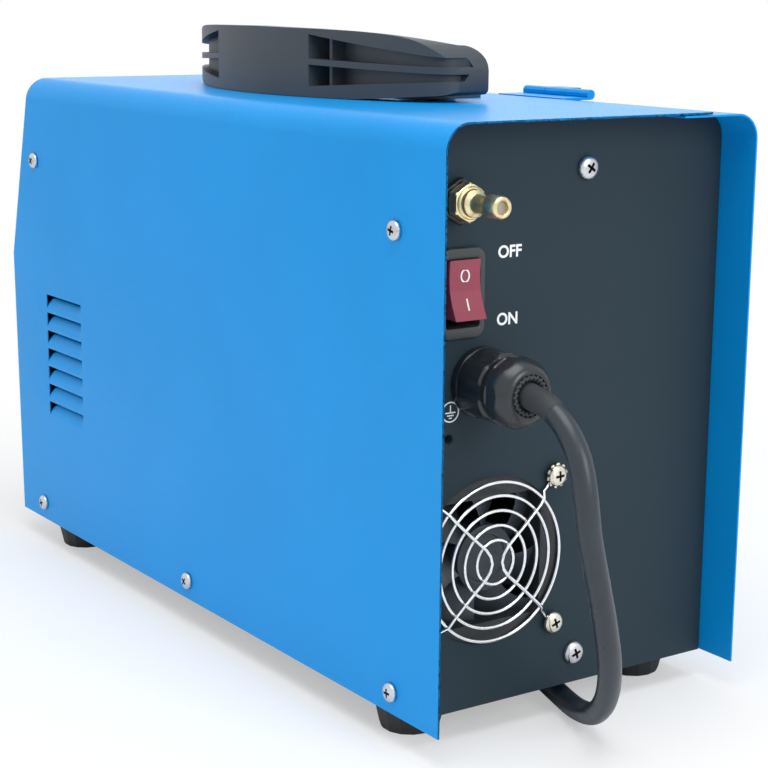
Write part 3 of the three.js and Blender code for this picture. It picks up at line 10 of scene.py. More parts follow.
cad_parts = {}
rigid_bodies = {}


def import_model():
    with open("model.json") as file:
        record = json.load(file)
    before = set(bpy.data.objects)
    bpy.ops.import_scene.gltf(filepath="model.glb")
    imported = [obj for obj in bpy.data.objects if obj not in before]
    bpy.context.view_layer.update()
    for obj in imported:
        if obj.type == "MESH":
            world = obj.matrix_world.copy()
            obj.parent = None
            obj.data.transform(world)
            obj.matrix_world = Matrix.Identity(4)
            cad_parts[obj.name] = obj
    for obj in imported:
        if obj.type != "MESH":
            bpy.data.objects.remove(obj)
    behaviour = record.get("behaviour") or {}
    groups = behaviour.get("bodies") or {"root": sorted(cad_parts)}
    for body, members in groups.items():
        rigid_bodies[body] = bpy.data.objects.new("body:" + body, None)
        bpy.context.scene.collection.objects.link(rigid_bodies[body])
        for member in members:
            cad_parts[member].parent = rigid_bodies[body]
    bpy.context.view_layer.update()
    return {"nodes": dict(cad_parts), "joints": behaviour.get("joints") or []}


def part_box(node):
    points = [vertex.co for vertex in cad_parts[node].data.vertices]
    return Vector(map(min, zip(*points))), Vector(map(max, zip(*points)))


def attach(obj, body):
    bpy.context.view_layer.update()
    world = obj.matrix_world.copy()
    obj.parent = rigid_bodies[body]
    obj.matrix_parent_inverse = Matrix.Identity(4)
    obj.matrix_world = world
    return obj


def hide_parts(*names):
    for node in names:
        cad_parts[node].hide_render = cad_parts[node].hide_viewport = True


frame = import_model()

bl_info = {
    "name": "Wire-Feed Welder",
    "version": (1, 0, 0),
    "blender": (4, 5, 0),
    "location": "View3D > Sidebar > Welder",
    "description": "Dresses a portable wire-feed welding machine and sets its stage",
    "category": "Object",
}

MM = 0.001

# ---------------- casing measures

COVER_LOW, COVER_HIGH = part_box("side_cover")
PANEL_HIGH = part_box("rear_panel")[1]
HALF_WIDTH = 0.104
CENTRE = Vector((COVER_HIGH.x - HALF_WIDTH, (COVER_LOW.y + COVER_HIGH.y) / 2, COVER_LOW.z))
REAR_FACE = PANEL_HIGH.y - CENTRE.y


def spot(x, y, z):
    """A point given in millimetres from the middle of the covers' lower edges."""
    return CENTRE + Vector((x, y, z)) * MM


def rear_spot(x, z, proud=0.0):
    """A point on the rear panel's outer face, or standing out of it, in millimetres."""
    return spot(x, REAR_FACE / MM + proud, z)


# ---------------- settings


class CoverSettings(bpy.types.PropertyGroup):
    """Colours and grain of the painted sheet metal."""

    blue: bpy.props.FloatVectorProperty(
        name="Cover Blue",
        description="Colour of the covers' powder coat",
        subtype="COLOR",
        size=3,
        min=0.0,
        max=1.0,
        default=(0.002, 0.290, 0.730),
    )
    slate: bpy.props.FloatVectorProperty(
        name="Panel Black",
        description="Colour of the end panels' powder coat",
        subtype="COLOR",
        size=3,
        min=0.0,
        max=1.0,
        default=(0.021, 0.038, 0.051),
    )
    peel: bpy.props.FloatProperty(
        name="Orange Peel",
        description="Height of the ripples in the powder coat",
        subtype="DISTANCE",
        unit="LENGTH",
        min=0.0,
        default=0.00006,
    )
    edge: bpy.props.FloatProperty(
        name="Sheet Edge Round",
        description="Rounding of the sheet metal's edges",
        subtype="DISTANCE",
        unit="LENGTH",
        min=0.0,
        default=0.0004,
    )


class LeadSettings(bpy.types.PropertyGroup):
    """Sizes of the mains lead and its coil."""

    diameter: bpy.props.FloatProperty(
        name="Lead Diameter",
        description="Outer diameter of the mains lead",
        subtype="DISTANCE",
        unit="LENGTH",
        min=0.001,
        default=0.0125,
    )
    coil_radius: bpy.props.FloatProperty(
        name="Coil Radius",
        description="Radius of the stored coil at the middle of its turns",
        subtype="DISTANCE",
        unit="LENGTH",
        min=0.01,
        default=0.069,
    )
    coil_pitch: bpy.props.FloatProperty(
        name="Coil Pitch",
        description="Distance between turns that lie side by side",
        subtype="DISTANCE",
        unit="LENGTH",
        min=0.001,
        default=0.0135,
    )
    layer_turns: bpy.props.FloatProperty(
        name="Turns per Layer",
        description="Turns in each of the coil's two layers",
        min=0.5,
        default=1.875,
    )
    lead_in: bpy.props.FloatProperty(
        name="Coil Lead-in",
        description="Straight start of the coil",
        subtype="DISTANCE",
        unit="LENGTH",
        min=0.0,
        default=0.0125,
    )
    tail: bpy.props.FloatProperty(
        name="Coil Tail",
        description="Straight end of the coil, before the plug",
        subtype="DISTANCE",
        unit="LENGTH",
        min=0.0,
        default=0.054,
    )
    colour: bpy.props.FloatVectorProperty(
        name="Lead Colour",
        description="Colour of the lead's rubber sheath",
        subtype="COLOR",
        size=3,
        min=0.0,
        max=1.0,
        default=(0.018, 0.028, 0.038),
    )


class FanSettings(bpy.types.PropertyGroup):
    """Sizes of the rear fan's wire guard."""

    wire: bpy.props.FloatProperty(
        name="Guard Wire",
        description="Diameter of the guard's wire",
        subtype="DISTANCE",
        unit="LENGTH",
        min=0.0005,
        default=0.0019,
    )
    hole_spacing: bpy.props.FloatProperty(
        name="Fan Hole Spacing",
        description="Distance between the fan's screw holes",
        subtype="DISTANCE",
        unit="LENGTH",
        min=0.01,
        default=0.0825,
    )


class StageSettings(bpy.types.PropertyGroup):
    """Camera, lamps and floor."""

    focal_length: bpy.props.FloatProperty(
        name="Focal Length",
        description="Focal length of the camera on a 36 mm sensor",
        min=10.0,
        default=86.96,
    )
    key_power: bpy.props.FloatProperty(
        name="Key Power",
        description="Power of the large lamp above the machine",
        subtype="POWER",
        min=0.0,
        default=20.0,
    )
    world_strength: bpy.props.FloatProperty(
        name="World Strength",
        description="Strength of the even light from all round",
        min=0.0,
        default=0.62,
    )


# ---------------- finishes


# The part of a noise's range over which a finish changes.
NOISE_SPAN = (0.3, 0.7)


def add_node(nodes, kind, inputs=()):
    """A new node with the given values on its inputs."""
    node = nodes.new(kind)
    for name, value in dict(inputs).items():
        node.inputs[name].default_value = value
    return node


def new_tree(owner, output):
    """The cleared nodes and links of a material or world, and the socket for its surface."""
    owner.use_nodes = True
    nodes = owner.node_tree.nodes
    nodes.clear()
    return nodes, owner.node_tree.links, nodes.new(output).inputs["Surface"]


def shade(colour, factor):
    """A colour made lighter or darker, for a ramp's stop."""
    return (*(min(1.0, channel * factor) for channel in colour), 1.0)


class Finish:
    """A finish in the making: its material, its shader and the noises that vary it."""

    def __init__(self, name, levels=()):
        self.material = bpy.data.materials.new(name)
        self.nodes, self.links, surface = new_tree(self.material, "ShaderNodeOutputMaterial")
        self.shader = add_node(self.nodes, "ShaderNodeBsdfPrincipled", levels)
        self.links.new(self.shader.outputs["BSDF"], surface)

    def noise(self, scale, detail, stretch=(1.0, 1.0, 1.0)):
        """A noise in the object's own metres, stretched along its axes."""
        coordinates = add_node(self.nodes, "ShaderNodeTexCoord")
        mapping = add_node(self.nodes, "ShaderNodeMapping", {"Scale": stretch})
        noise = add_node(self.nodes, "ShaderNodeTexNoise", {"Scale": scale, "Detail": detail})
        self.links.new(coordinates.outputs["Object"], mapping.inputs["Vector"])
        self.links.new(mapping.outputs["Vector"], noise.inputs["Vector"])
        return noise.outputs["Fac"]

    def vary_colour(self, noise, colour, spread):
        """Lets the base colour drift a little with a noise."""
        ramp = self.nodes.new("ShaderNodeValToRGB")
        factors = (1.0 - spread, 1.0 + spread)
        for stop, position, factor in zip(ramp.color_ramp.elements, NOISE_SPAN, factors):
            stop.position = position
            stop.color = shade(colour, factor)
        self.links.new(noise, ramp.inputs["Fac"])
        self.links.new(ramp.outputs["Color"], self.shader.inputs["Base Color"])

    def vary_roughness(self, noise, low, high):
        """Lets the roughness drift between two values."""
        start, stop = NOISE_SPAN
        reach = {"From Min": start, "From Max": stop, "To Min": low, "To Max": high}
        span = add_node(self.nodes, "ShaderNodeMapRange", reach)
        self.links.new(noise, span.inputs["Value"])
        self.links.new(span.outputs["Result"], self.shader.inputs["Roughness"])

    def add_bump(self, noise, height):
        """Raises the surface with a noise, by a real height."""
        bump = add_node(self.nodes, "ShaderNodeBump", {"Strength": 1.0, "Distance": height})
        self.links.new(noise, bump.inputs["Height"])
        self.links.new(bump.outputs["Normal"], self.shader.inputs["Normal"])


def powder_coat(name, colour, peel, grain, roughness):
    """Powder coat on sheet steel: a fine ripple and slight drift of tone."""
    finish = Finish(name, {"Specular IOR Level": 0.18})
    fine = finish.noise(grain, 2.0)
    finish.vary_colour(finish.noise(9.0, 4.0), colour, 0.035)
    finish.vary_roughness(fine, roughness - 0.05, roughness + 0.06)
    finish.add_bump(fine, peel)
    return finish.material


def moulded_plastic(name, colour, roughness, grain=3200.0, depth=0.00004):
    """Moulded plastic with the fine grain of its tool."""
    finish = Finish(name, {"Specular IOR Level": 0.5})
    fine = finish.noise(grain, 2.0)
    finish.vary_colour(finish.noise(30.0, 3.0), colour, 0.05)
    finish.vary_roughness(fine, roughness - 0.05, roughness + 0.07)
    finish.add_bump(fine, depth)
    return finish.material


def plated_metal(name, colour, roughness, scratch=220.0, stretch=(1.0, 1.0, 1.0), depth=0.00002):
    """Plated or turned metal, with faint marks from making and handling."""
    finish = Finish(name, {"Metallic": 1.0})
    marks = finish.noise(scratch, 6.0, stretch)
    finish.vary_colour(marks, colour, 0.07)
    finish.vary_roughness(marks, roughness * 0.75, roughness * 1.35)
    finish.add_bump(marks, depth)
    return finish.material


def soft_rubber(name, colour, roughness=0.62):
    """Black rubber: dull, with a bloom of paler dust."""
    finish = Finish(name)
    bloom = finish.noise(55.0, 5.0)
    finish.vary_colour(bloom, colour, 0.16)
    finish.vary_roughness(bloom, roughness - 0.08, roughness + 0.08)
    finish.add_bump(finish.noise(1800.0, 2.0), 0.00005)
    return finish.material


def print_ink(name, colour):
    """Screen-print ink, thin and slightly uneven."""
    finish = Finish(name)
    wear = finish.noise(900.0, 3.0)
    finish.vary_colour(wear, colour, 0.05)
    finish.vary_roughness(wear, 0.45, 0.6)
    finish.add_bump(wear, 0.00001)
    return finish.material


FINISHES = {}


def make_finishes(settings, lead):
    """Makes each finish once and keeps it by its name."""
    blue = tuple(settings.blue)
    slate = tuple(settings.slate)
    FINISHES.update(
        blue_coat=powder_coat("blue_coat", blue, settings.peel, 700.0, 0.36),
        black_coat=powder_coat("black_coat", slate, settings.peel * 0.8, 1500.0, 0.55),
        handle=moulded_plastic("handle_plastic", (0.036, 0.047, 0.058), 0.42, 2200.0, 0.00006),
        black_plastic=moulded_plastic("black_plastic", (0.022, 0.026, 0.030), 0.40),
        switch_plastic=moulded_plastic("switch_plastic", (0.040, 0.048, 0.053), 0.42),
        gland_plastic=moulded_plastic("gland_plastic", (0.020, 0.024, 0.028), 0.22),
        fan_plastic=moulded_plastic("fan_plastic", (0.030, 0.042, 0.054), 0.38),
        red_plastic=moulded_plastic("red_plastic", (0.300, 0.045, 0.075), 0.30),
        seal_rubber=soft_rubber("seal_rubber", (0.030, 0.034, 0.038)),
        foot_rubber=soft_rubber("foot_rubber", (0.018, 0.019, 0.021)),
        sheath=soft_rubber("lead_sheath", tuple(lead.colour), 0.34),
        zinc=plated_metal("zinc_plate", (0.60, 0.61, 0.63), 0.30),
        nickel=plated_metal("nickel_plate", (0.72, 0.69, 0.58), 0.26),
        wire=plated_metal("guard_wire", (0.86, 0.87, 0.88), 0.16, 400.0),
        brass=plated_metal("turned_brass", (0.84, 0.70, 0.40), 0.33, 500.0, (1.0, 6.0, 1.0)),
        galvanised=plated_metal("galvanised_sheet", (0.50, 0.51, 0.53), 0.46, 500.0, depth=8e-7),
        aluminium=plated_metal("cast_aluminium", (0.56, 0.57, 0.58), 0.42, 900.0, depth=0.00008),
        steel=plated_metal("plain_steel", (0.45, 0.46, 0.48), 0.36, 300.0, (1.0, 1.0, 8.0)),
        board=moulded_plastic("board_lacquer", (0.02, 0.11, 0.05), 0.35),
        copper=plated_metal("enamelled_copper", (0.55, 0.22, 0.10), 0.35, 900.0, (1.0, 1.0, 12.0)),
        filter=plated_metal("gas_filter", (0.42, 0.40, 0.36), 0.55, 2400.0, depth=0.0003),
        display=moulded_plastic("display_window", (0.006, 0.008, 0.010), 0.12, depth=0.000002),
        unlit=moulded_plastic("unlit_figures", (0.060, 0.016, 0.016), 0.35),
        white_ink=print_ink("white_ink", (0.90, 0.92, 0.94)),
        # Painted shade: a near-black finish laid in screw recesses, contact holes and socket
        # bores, where shade falls.
        dark=moulded_plastic("painted_shade_recess", (0.006, 0.007, 0.008), 0.6),
    )


# ---------------- shaping helpers

# Points closer together than this become one.
JOIN = 0.000001
# Steps round a large, a middling and a small turned piece.
ROUND = 96
ROUND_MIDDLE = 64
ROUND_SMALL = 48
# Turns an outline of (y, z) so that it rises along X.
ALONG_X = Matrix(((0, 0, 1, 0), (1, 0, 0, 0), (0, 1, 0, 0), (0, 0, 0, 1)))
# Turns an outline of (x, z) so that it rises against Y.
ALONG_Y = Matrix(((1, 0, 0, 0), (0, 0, -1, 0), (0, 1, 0, 0), (0, 0, 0, 1)))


def move(x, y, z):
    """A move given in millimetres."""
    return Matrix.Translation(Vector((x, y, z)) * MM)


def facing(point, outward, up=(0.0, 0.0, 1.0)):
    """A place whose local Z looks outward and whose local Y looks up."""
    z_axis = Vector(outward).normalized()
    x_axis = Vector(up).cross(z_axis).normalized()
    y_axis = z_axis.cross(x_axis)
    turn = Matrix((x_axis, y_axis, z_axis)).transposed().to_4x4()
    return Matrix.Translation(point) @ turn


def on_rear(x, z, proud=0.0):
    """A place on the rear panel, looking out of it: local X is right as seen from behind."""
    return facing(rear_spot(x, z, proud), (0.0, 1.0, 0.0))


def place_object(name, data, body="casing"):
    """Puts a mesh or curve into the scene, riding on a body."""
    piece = bpy.data.objects.new(name, data)
    bpy.context.scene.collection.objects.link(piece)
    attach(piece, body)
    return piece


def weld(form):
    """Joins points that lie together and turns all faces outwards."""
    bmesh.ops.remove_doubles(form, verts=form.verts, dist=JOIN)
    bmesh.ops.recalc_face_normals(form, faces=form.faces)


def smooth(mesh, sharp):
    """Shades a mesh smoothly except over edges sharper than an angle in degrees."""
    mesh.shade_smooth()
    mesh.set_sharp_from_angle(angle=math.radians(sharp))


def as_piece(name, form, finishes, body="casing", sharp=35.0):
    """Turns a welded form into a piece with its finishes, riding on a body."""
    mesh = bpy.data.meshes.new(name)
    form.to_mesh(mesh)
    form.free()
    smooth(mesh, sharp)
    for finish in finishes:
        mesh.materials.append(FINISHES[finish])
    return place_object(name, mesh, body)


def finish_mesh(name, form, finishes, body="casing", sharp=35.0):
    """Welds a form and turns it into a piece."""
    weld(form)
    return as_piece(name, form, finishes, body, sharp)


def revolve(form, profile, place, steps=ROUND_SMALL, finish=0, shape=None):
    """Turns a profile of (radius, height) in millimetres round the place's local Z.

    A shape, where one is given, changes each point's radius from its height and angle."""
    rings = []
    for radius, height in profile:
        count = 1 if radius < 1e-6 else steps
        ring = []
        for step in range(count):
            angle = math.tau * step / count
            reach = shape(radius, height, angle) if shape else radius
            local = Vector((reach * math.cos(angle), reach * math.sin(angle), height)) * MM
            ring.append(form.verts.new(place @ local))
        rings.append(ring)
    for low, high in zip(rings, rings[1:]):
        for step in range(steps):
            after = (step + 1) % steps
            corners = [low[step % len(low)], low[after % len(low)]]
            corners += [high[after % len(high)], high[step % len(high)]]
            unique = list(dict.fromkeys(corners))
            if len(unique) > 2:
                face = form.faces.new(unique)
                face.material_index = finish


def turned(name, profile, place, steps, finish, body="casing", shape=None, sharp=35.0):
    """A piece turned from one profile, in one finish."""
    form = bmesh.new()
    revolve(form, profile, place, steps, 0, shape)
    return finish_mesh(name, form, (finish,), body, sharp)


def loop_at(form, outline, height, place):
    """Adds an outline of (x, y) in millimetres at a height along the place's local Z."""
    return [form.verts.new(place @ (Vector((x, y, height)) * MM)) for x, y in outline]


def skin(form, rows, finish=0, closed=True):
    """Faces between neighbouring rows of as many points, round each row if it is closed."""
    for low, high in zip(rows, rows[1:]):
        count = len(low)
        for step in range(count if closed else count - 1):
            after = (step + 1) % count
            face = form.faces.new((low[step], low[after], high[after], high[step]))
            face.material_index = finish


def close_ends(form, rows, finish=0):
    """Faces over the first and the last row."""
    for row in (rows[0][::-1], rows[-1]):
        form.faces.new(row).material_index = finish


def loft(form, rings, place, finish=0, capped=False):
    """A skin over outlines of as many points, each at its height along local Z."""
    rows = [loop_at(form, outline, height, place) for outline, height in rings]
    skin(form, rows, finish)
    if capped:
        close_ends(form, rows, finish)


def extrude(form, outline, low, high, place, finish=0):
    """Raises a closed outline of (x, y) in millimetres from low to high along local Z."""
    loft(form, ((outline, low), (outline, high)), place, finish, capped=True)


def band(form, outer, inner, low, high, place, finish=0):
    """A closed band between two outlines of as many points, from low to high."""
    rings = ((outer, low), (outer, high), (inner, high), (inner, low))
    rows = [loop_at(form, outline, height, place) for outline, height in rings]
    skin(form, rows + rows[:1], finish)


def circle(x, y, radius, steps=48):
    """A round outline about a point, in millimetres."""
    turns = [math.tau * step / steps for step in range(steps)]
    return [(x + radius * math.cos(turn), y + radius * math.sin(turn)) for turn in turns]


def round_box(width, height, corner, steps=6):
    """A rectangle's outline with rounded corners, in millimetres, about its middle."""
    outline = []
    for turn, (side_x, side_y) in enumerate(((1, 1), (-1, 1), (-1, -1), (1, -1))):
        for step in range(steps + 1):
            angle = math.pi / 2 * (turn + step / steps)
            x = side_x * (width / 2 - corner) + corner * math.cos(angle)
            y = side_y * (height / 2 - corner) + corner * math.sin(angle)
            outline.append((x, y))
    return outline


def applied(piece, *helpers):
    """The mesh of a piece with its modifiers applied; the piece and its helpers go."""
    bpy.context.view_layer.update()
    ready = piece.evaluated_get(bpy.context.evaluated_depsgraph_get())
    mesh = bpy.data.meshes.new_from_object(ready)
    for thing in (piece, *helpers):
        blank = thing.data
        bpy.data.objects.remove(thing)
        bpy.data.batch_remove((blank,))
    return mesh


def combine(piece, other, operation):
    """Cuts a piece with another, or keeps what they share, and returns the modifier."""
    step = piece.modifiers.new(other.name, "BOOLEAN")
    step.operation = operation
    step.solver = "EXACT"
    step.object = other
    return step


def soften(piece, width, segments=2, angle=30.0):
    """Rounds a piece's edges that are sharper than an angle, by a small radius in metres."""
    joined = piece.modifiers.new("weld", "WELD")
    joined.merge_threshold = 5 * JOIN
    bevel = piece.modifiers.new("edges", "BEVEL")
    bevel.width = width
    bevel.segments = segments
    bevel.limit_method = "ANGLE"
    bevel.angle_limit = math.radians(angle)
    bevel.harden_normals = True
    return piece


def wire_curve(name, runs, diameter, finish, steps):
    """Round wire through runs of (points, closed), in world metres."""
    curve = bpy.data.curves.new(name, "CURVE")
    curve.dimensions = "3D"
    curve.bevel_depth = diameter / 2
    curve.bevel_resolution = steps
    curve.use_fill_caps = True
    for points, closed in runs:
        spline = curve.splines.new("POLY")
        spline.points.add(len(points) - 1)
        for knot, point in zip(spline.points, points):
            knot.co = (*point, 1.0)
        spline.use_cyclic_u = closed
        spline.use_smooth = True
    curve.materials.append(FINISHES[finish])
    return place_object(name, curve)


def catmull(points, spacing):
    """A smooth run through points, with about that spacing between its own points."""
    ends = [points[0] * 2 - points[1], *points, points[-1] * 2 - points[-2]]
    run = [points[0].copy()]
    for before, start, stop, after in zip(ends, ends[1:], ends[2:], ends[3:]):
        knots = [0.0]
        for first, second in ((before, start), (start, stop), (stop, after)):
            knots.append(knots[-1] + math.sqrt((second - first).length))
        count = max(1, round((stop - start).length / spacing))
        for step in range(1, count + 1):
            t = knots[1] + (knots[2] - knots[1]) * step / count
            run.append(knot_blend(before, start, stop, after, knots, t))
    return run


def knot_blend(before, start, stop, after, knots, t):
    """One point of a centripetal curve between start and stop."""

    def mix(first, second, low, high):
        return first * ((high - t) / (high - low)) + second * ((t - low) / (high - low))

    near = mix(before, start, knots[0], knots[1])
    middle = mix(start, stop, knots[1], knots[2])
    far = mix(stop, after, knots[2], knots[3])
    left = mix(near, middle, knots[0], knots[2])
    right = mix(middle, far, knots[1], knots[3])
    return mix(left, right, knots[1], knots[2])


# ---------------- camera, lamps and floor

# The camera's place in millimetres from the middle of the covers' lower edges, and its turns.
CAMERA_SPOT = (629.4, 980.2, 375.1)
CAMERA_YAW = math.radians(214.33)
CAMERA_PITCH = math.radians(-12.02)
CAMERA_ROLL = math.radians(0.48)
SENSOR_WIDTH = 36.0
CAMERA_CLIP = (0.05, 50.0)
WHITE = (1.0, 1.0, 1.0, 1.0)
SKY = (0.97, 0.985, 1.0, 1.0)
PAPER = (0.93, 0.94, 0.95, 1.0)
# Each lamp's name, place, aim and size in metres, share of the key power, and whether
# shiny faces show it.
LAMPS = (
    ("lamp_above", (0.3, 0.5, 2.0), (0.0, 0.0, 0.1), 1.6, 1.08, True),
    ("lamp_side", (2.2, -0.4, 0.8), (0.0, 0.0, 0.15), 1.2, 0.27, False),
    ("lamp_front", (-1.3, -1.9, 0.75), (0.0, 0.0, 0.3), 1.6, 0.17, True),
    ("lamp_rear", (-0.3, 2.3, 1.2), (0.0, 0.2, 0.2), 1.2, 0.85, True),
)
FLOOR_REACH = 12.0
FLOOR_DROP = 0.0002
# The floor fades into white between these distances from its middle, from a least share.
FADE_START = 0.35
FADE_END = 0.75
FADE_LEAST = 0.42


def compute(nodes, links, operation, first, second):
    """What an operation makes of two outputs."""
    node = nodes.new("ShaderNodeMath")
    node.operation = operation
    links.new(first, node.inputs[0])
    links.new(second, node.inputs[1])
    return node.outputs["Value"]


def blend_shaders(nodes, links, share, shaders, surface):
    """Sends a blend of two shaders' outputs to the surface."""
    mix = nodes.new("ShaderNodeMixShader")
    for source, target in zip((share, *shaders), mix.inputs):
        links.new(source, target)
    links.new(mix.outputs["Shader"], surface)


class SCENE_OT_welder_stage(bpy.types.Operator):
    """Makes the camera, the lamps, the pale surroundings and the floor"""

    bl_idname = "welder.stage"
    bl_label = "Stage"

    def execute(self, context):
        settings = context.scene.welder_stage
        self.make_camera(context, settings)
        self.make_world(context, settings)
        self.make_lamps(context, settings)
        self.make_floor(context)
        return {"FINISHED"}

    def make_camera(self, context, settings):
        """Stands the camera behind the machine, to the right of it."""
        camera = bpy.data.cameras.new("camera")
        camera.sensor_width = SENSOR_WIDTH
        camera.lens = settings.focal_length
        camera.clip_start, camera.clip_end = CAMERA_CLIP
        thing = bpy.data.objects.new("camera", camera)
        context.scene.collection.objects.link(thing)
        level = math.cos(CAMERA_PITCH)
        look = Vector(
            (math.sin(CAMERA_YAW) * level, math.cos(CAMERA_YAW) * level, math.sin(CAMERA_PITCH))
        )
        right = look.cross(Vector((0.0, 0.0, 1.0))).normalized()
        above = right.cross(look)
        x_axis = right * math.cos(CAMERA_ROLL) + above * math.sin(CAMERA_ROLL)
        y_axis = above * math.cos(CAMERA_ROLL) - right * math.sin(CAMERA_ROLL)
        turn = Matrix((x_axis, y_axis, -look)).transposed().to_4x4()
        thing.matrix_world = Matrix.Translation(spot(*CAMERA_SPOT)) @ turn
        context.scene.camera = thing

    def make_world(self, context, settings):
        """Even light from all round, and white where the camera or a shiny face sees it."""
        world = bpy.data.worlds.new("surroundings")
        nodes, links, surface = new_tree(world, "ShaderNodeOutputWorld")
        even = {"Color": SKY, "Strength": settings.world_strength}
        light = add_node(nodes, "ShaderNodeBackground", even)
        white = add_node(nodes, "ShaderNodeBackground", {"Color": WHITE, "Strength": 1.0})
        rays = nodes.new("ShaderNodeLightPath").outputs
        shiny = (rays["Is Glossy Ray"], rays["Is Transmission Ray"])
        mirrored = compute(nodes, links, "MAXIMUM", *shiny)
        seen = compute(nodes, links, "MAXIMUM", rays["Is Camera Ray"], mirrored)
        shaders = (light.outputs["Background"], white.outputs["Background"])
        blend_shaders(nodes, links, seen, shaders, surface)
        context.scene.world = world
        context.scene.view_settings.view_transform = "Standard"

    def make_lamps(self, context, settings):
        """A broad lamp above the machine and weaker ones at its side, front and rear."""
        for name, where, aim, size, share, glossy in LAMPS:
            lamp = bpy.data.lights.new(name, "AREA")
            lamp.shape = "DISK"
            lamp.size = size
            lamp.energy = settings.key_power * share
            thing = bpy.data.objects.new(name, lamp)
            context.scene.collection.objects.link(thing)
            thing.visible_glossy = glossy
            thing.location = where
            thing.rotation_mode = "QUATERNION"
            thing.rotation_quaternion = (Vector(aim) - Vector(where)).to_track_quat("-Z", "Y")

    def make_floor(self, context):
        """A white floor that keeps the machine's shadow and fades into the surroundings."""
        form = bmesh.new()
        bmesh.ops.create_grid(form, x_segments=1, y_segments=1, size=FLOOR_REACH)
        mesh = bpy.data.meshes.new("floor")
        form.to_mesh(mesh)
        form.free()
        material = bpy.data.materials.new("floor_paper")
        nodes, links, surface = new_tree(material, "ShaderNodeOutputMaterial")
        paper = add_node(nodes, "ShaderNodeBsdfDiffuse", {"Color": PAPER})
        glow = add_node(nodes, "ShaderNodeEmission", {"Color": WHITE, "Strength": 1.0})
        coordinates = nodes.new("ShaderNodeTexCoord")
        distance = nodes.new("ShaderNodeVectorMath")
        distance.operation = "LENGTH"
        span = {"From Min": FADE_START, "From Max": FADE_END, "To Min": FADE_LEAST, "To Max": 1.0}
        reach = add_node(nodes, "ShaderNodeMapRange", span)
        reach.interpolation_type = "SMOOTHSTEP"
        rays = nodes.new("ShaderNodeLightPath").outputs
        links.new(coordinates.outputs["Object"], distance.inputs[0])
        links.new(distance.outputs["Value"], reach.inputs["Value"])
        fade = (reach.outputs["Result"], rays["Is Camera Ray"])
        seen = compute(nodes, links, "MULTIPLY", *fade)
        shaders = (paper.outputs["BSDF"], glow.outputs["Emission"])
        blend_shaders(nodes, links, seen, shaders, surface)
        mesh.materials.append(material)
        floor = bpy.data.objects.new("floor", mesh)
        context.scene.collection.objects.link(floor)
        floor.location = (0.0, 0.0, -FLOOR_DROP)


# ---------------- mains lead, coil and plug

# How high the middle of the lead lies above the floor.
LEAD_LIE = 6.4
COIL_CENTRE = (-200, 28)
LAYER_RISE = 13.0
LAYER_CHANGE = 0.5
LAYER_DIP = 0.42
COIL_TURNS = 4.25
STEPS_PER_TURN = 96
ROUTE_SPACING = 6.0
LEAD_IN_STEPS = (56.0, 28.0, 0.3)
PLUG_GAP = 0.3
PIN_SPACING = 19.0
# From the origin that the route is drawn from to the whole part's own, in millimetres.
SOURCE_SHIFT = Vector((4.65, -7.65, 0.0))
GLAND_RUN = (
    (62, 277.3, 195), (62, 293.4, 192), (62, 307.4, 183.4), (62, 317.4, 170.4),
    (62, 321.9, 156.3), (59.5, 323.6, 133), (52.5, 322.8, 108), (42.5, 318.5, 81),
    (31.5, 310, 55.5), (20.5, 295.5, 32.5), (10, 274.5, 15), (1, 250.5, LEAD_LIE + 1),
    (-7, 224, LEAD_LIE), (-16, 197, LEAD_LIE), (-30, 170, LEAD_LIE), (-50, 147, LEAD_LIE),
    (-75, 128.5, LEAD_LIE), (-104, 118, LEAD_LIE),
)


def lead_point(point):
    """A point of the lead's route, from millimetres on the floor to the scene's metres."""
    return (Vector(point) + SOURCE_SHIFT) * MM


def smooth_step(value):
    """An even change from 0 to 1."""
    return value * value * (3 - 2 * value)


def coil_spiral(lead, turn):
    """The middle of the lead on the coil, after that many turns, in millimetres."""
    pitch = lead.coil_pitch / MM
    outer = lead.coil_radius / MM + pitch * lead.layer_turns / 2
    climb = min(max((turn - lead.layer_turns) / LAYER_CHANGE, 0.0), 1.0)
    inwards = min(turn, lead.layer_turns) + climb * LAYER_CHANGE / 2
    outwards = max(turn - lead.layer_turns - LAYER_CHANGE, 0.0)
    dip = LAYER_DIP * pitch * math.sin(math.pi * climb)
    radius = outer - pitch * (inwards - outwards) - dip
    angle = math.pi / 2 + math.tau * turn
    return Vector(
        (
            COIL_CENTRE[0] + radius * math.cos(angle),
            COIL_CENTRE[1] + radius * math.sin(angle),
            LEAD_LIE + smooth_step(climb) * LAYER_RISE,
        )
    )


def coil_direction(lead, turn):
    """Which way the lead runs on the coil."""
    step = 0.0001
    return (coil_spiral(lead, turn + step) - coil_spiral(lead, turn - step)).normalized()


def lead_route(lead):
    """The lead's whole centreline from the gland to the plug, in metres."""
    start = coil_spiral(lead, 0.0)
    along = coil_direction(lead, 0.0)
    arrivals = [start - along * (lead.lead_in / MM + back) for back in LEAD_IN_STEPS]
    run = catmull([Vector(point) for point in GLAND_RUN] + arrivals, ROUTE_SPACING)
    steps = range(1, round(COIL_TURNS * STEPS_PER_TURN) + 1)
    coil = [start] + [coil_spiral(lead, step / STEPS_PER_TURN) for step in steps]
    leave = coil_direction(lead, COIL_TURNS)
    tail = [coil[-1] + leave * (lead.tail / MM) * share for share in (0.25, 0.5, 0.75, 1.0)]
    return [lead_point(point) for point in run + coil + tail]


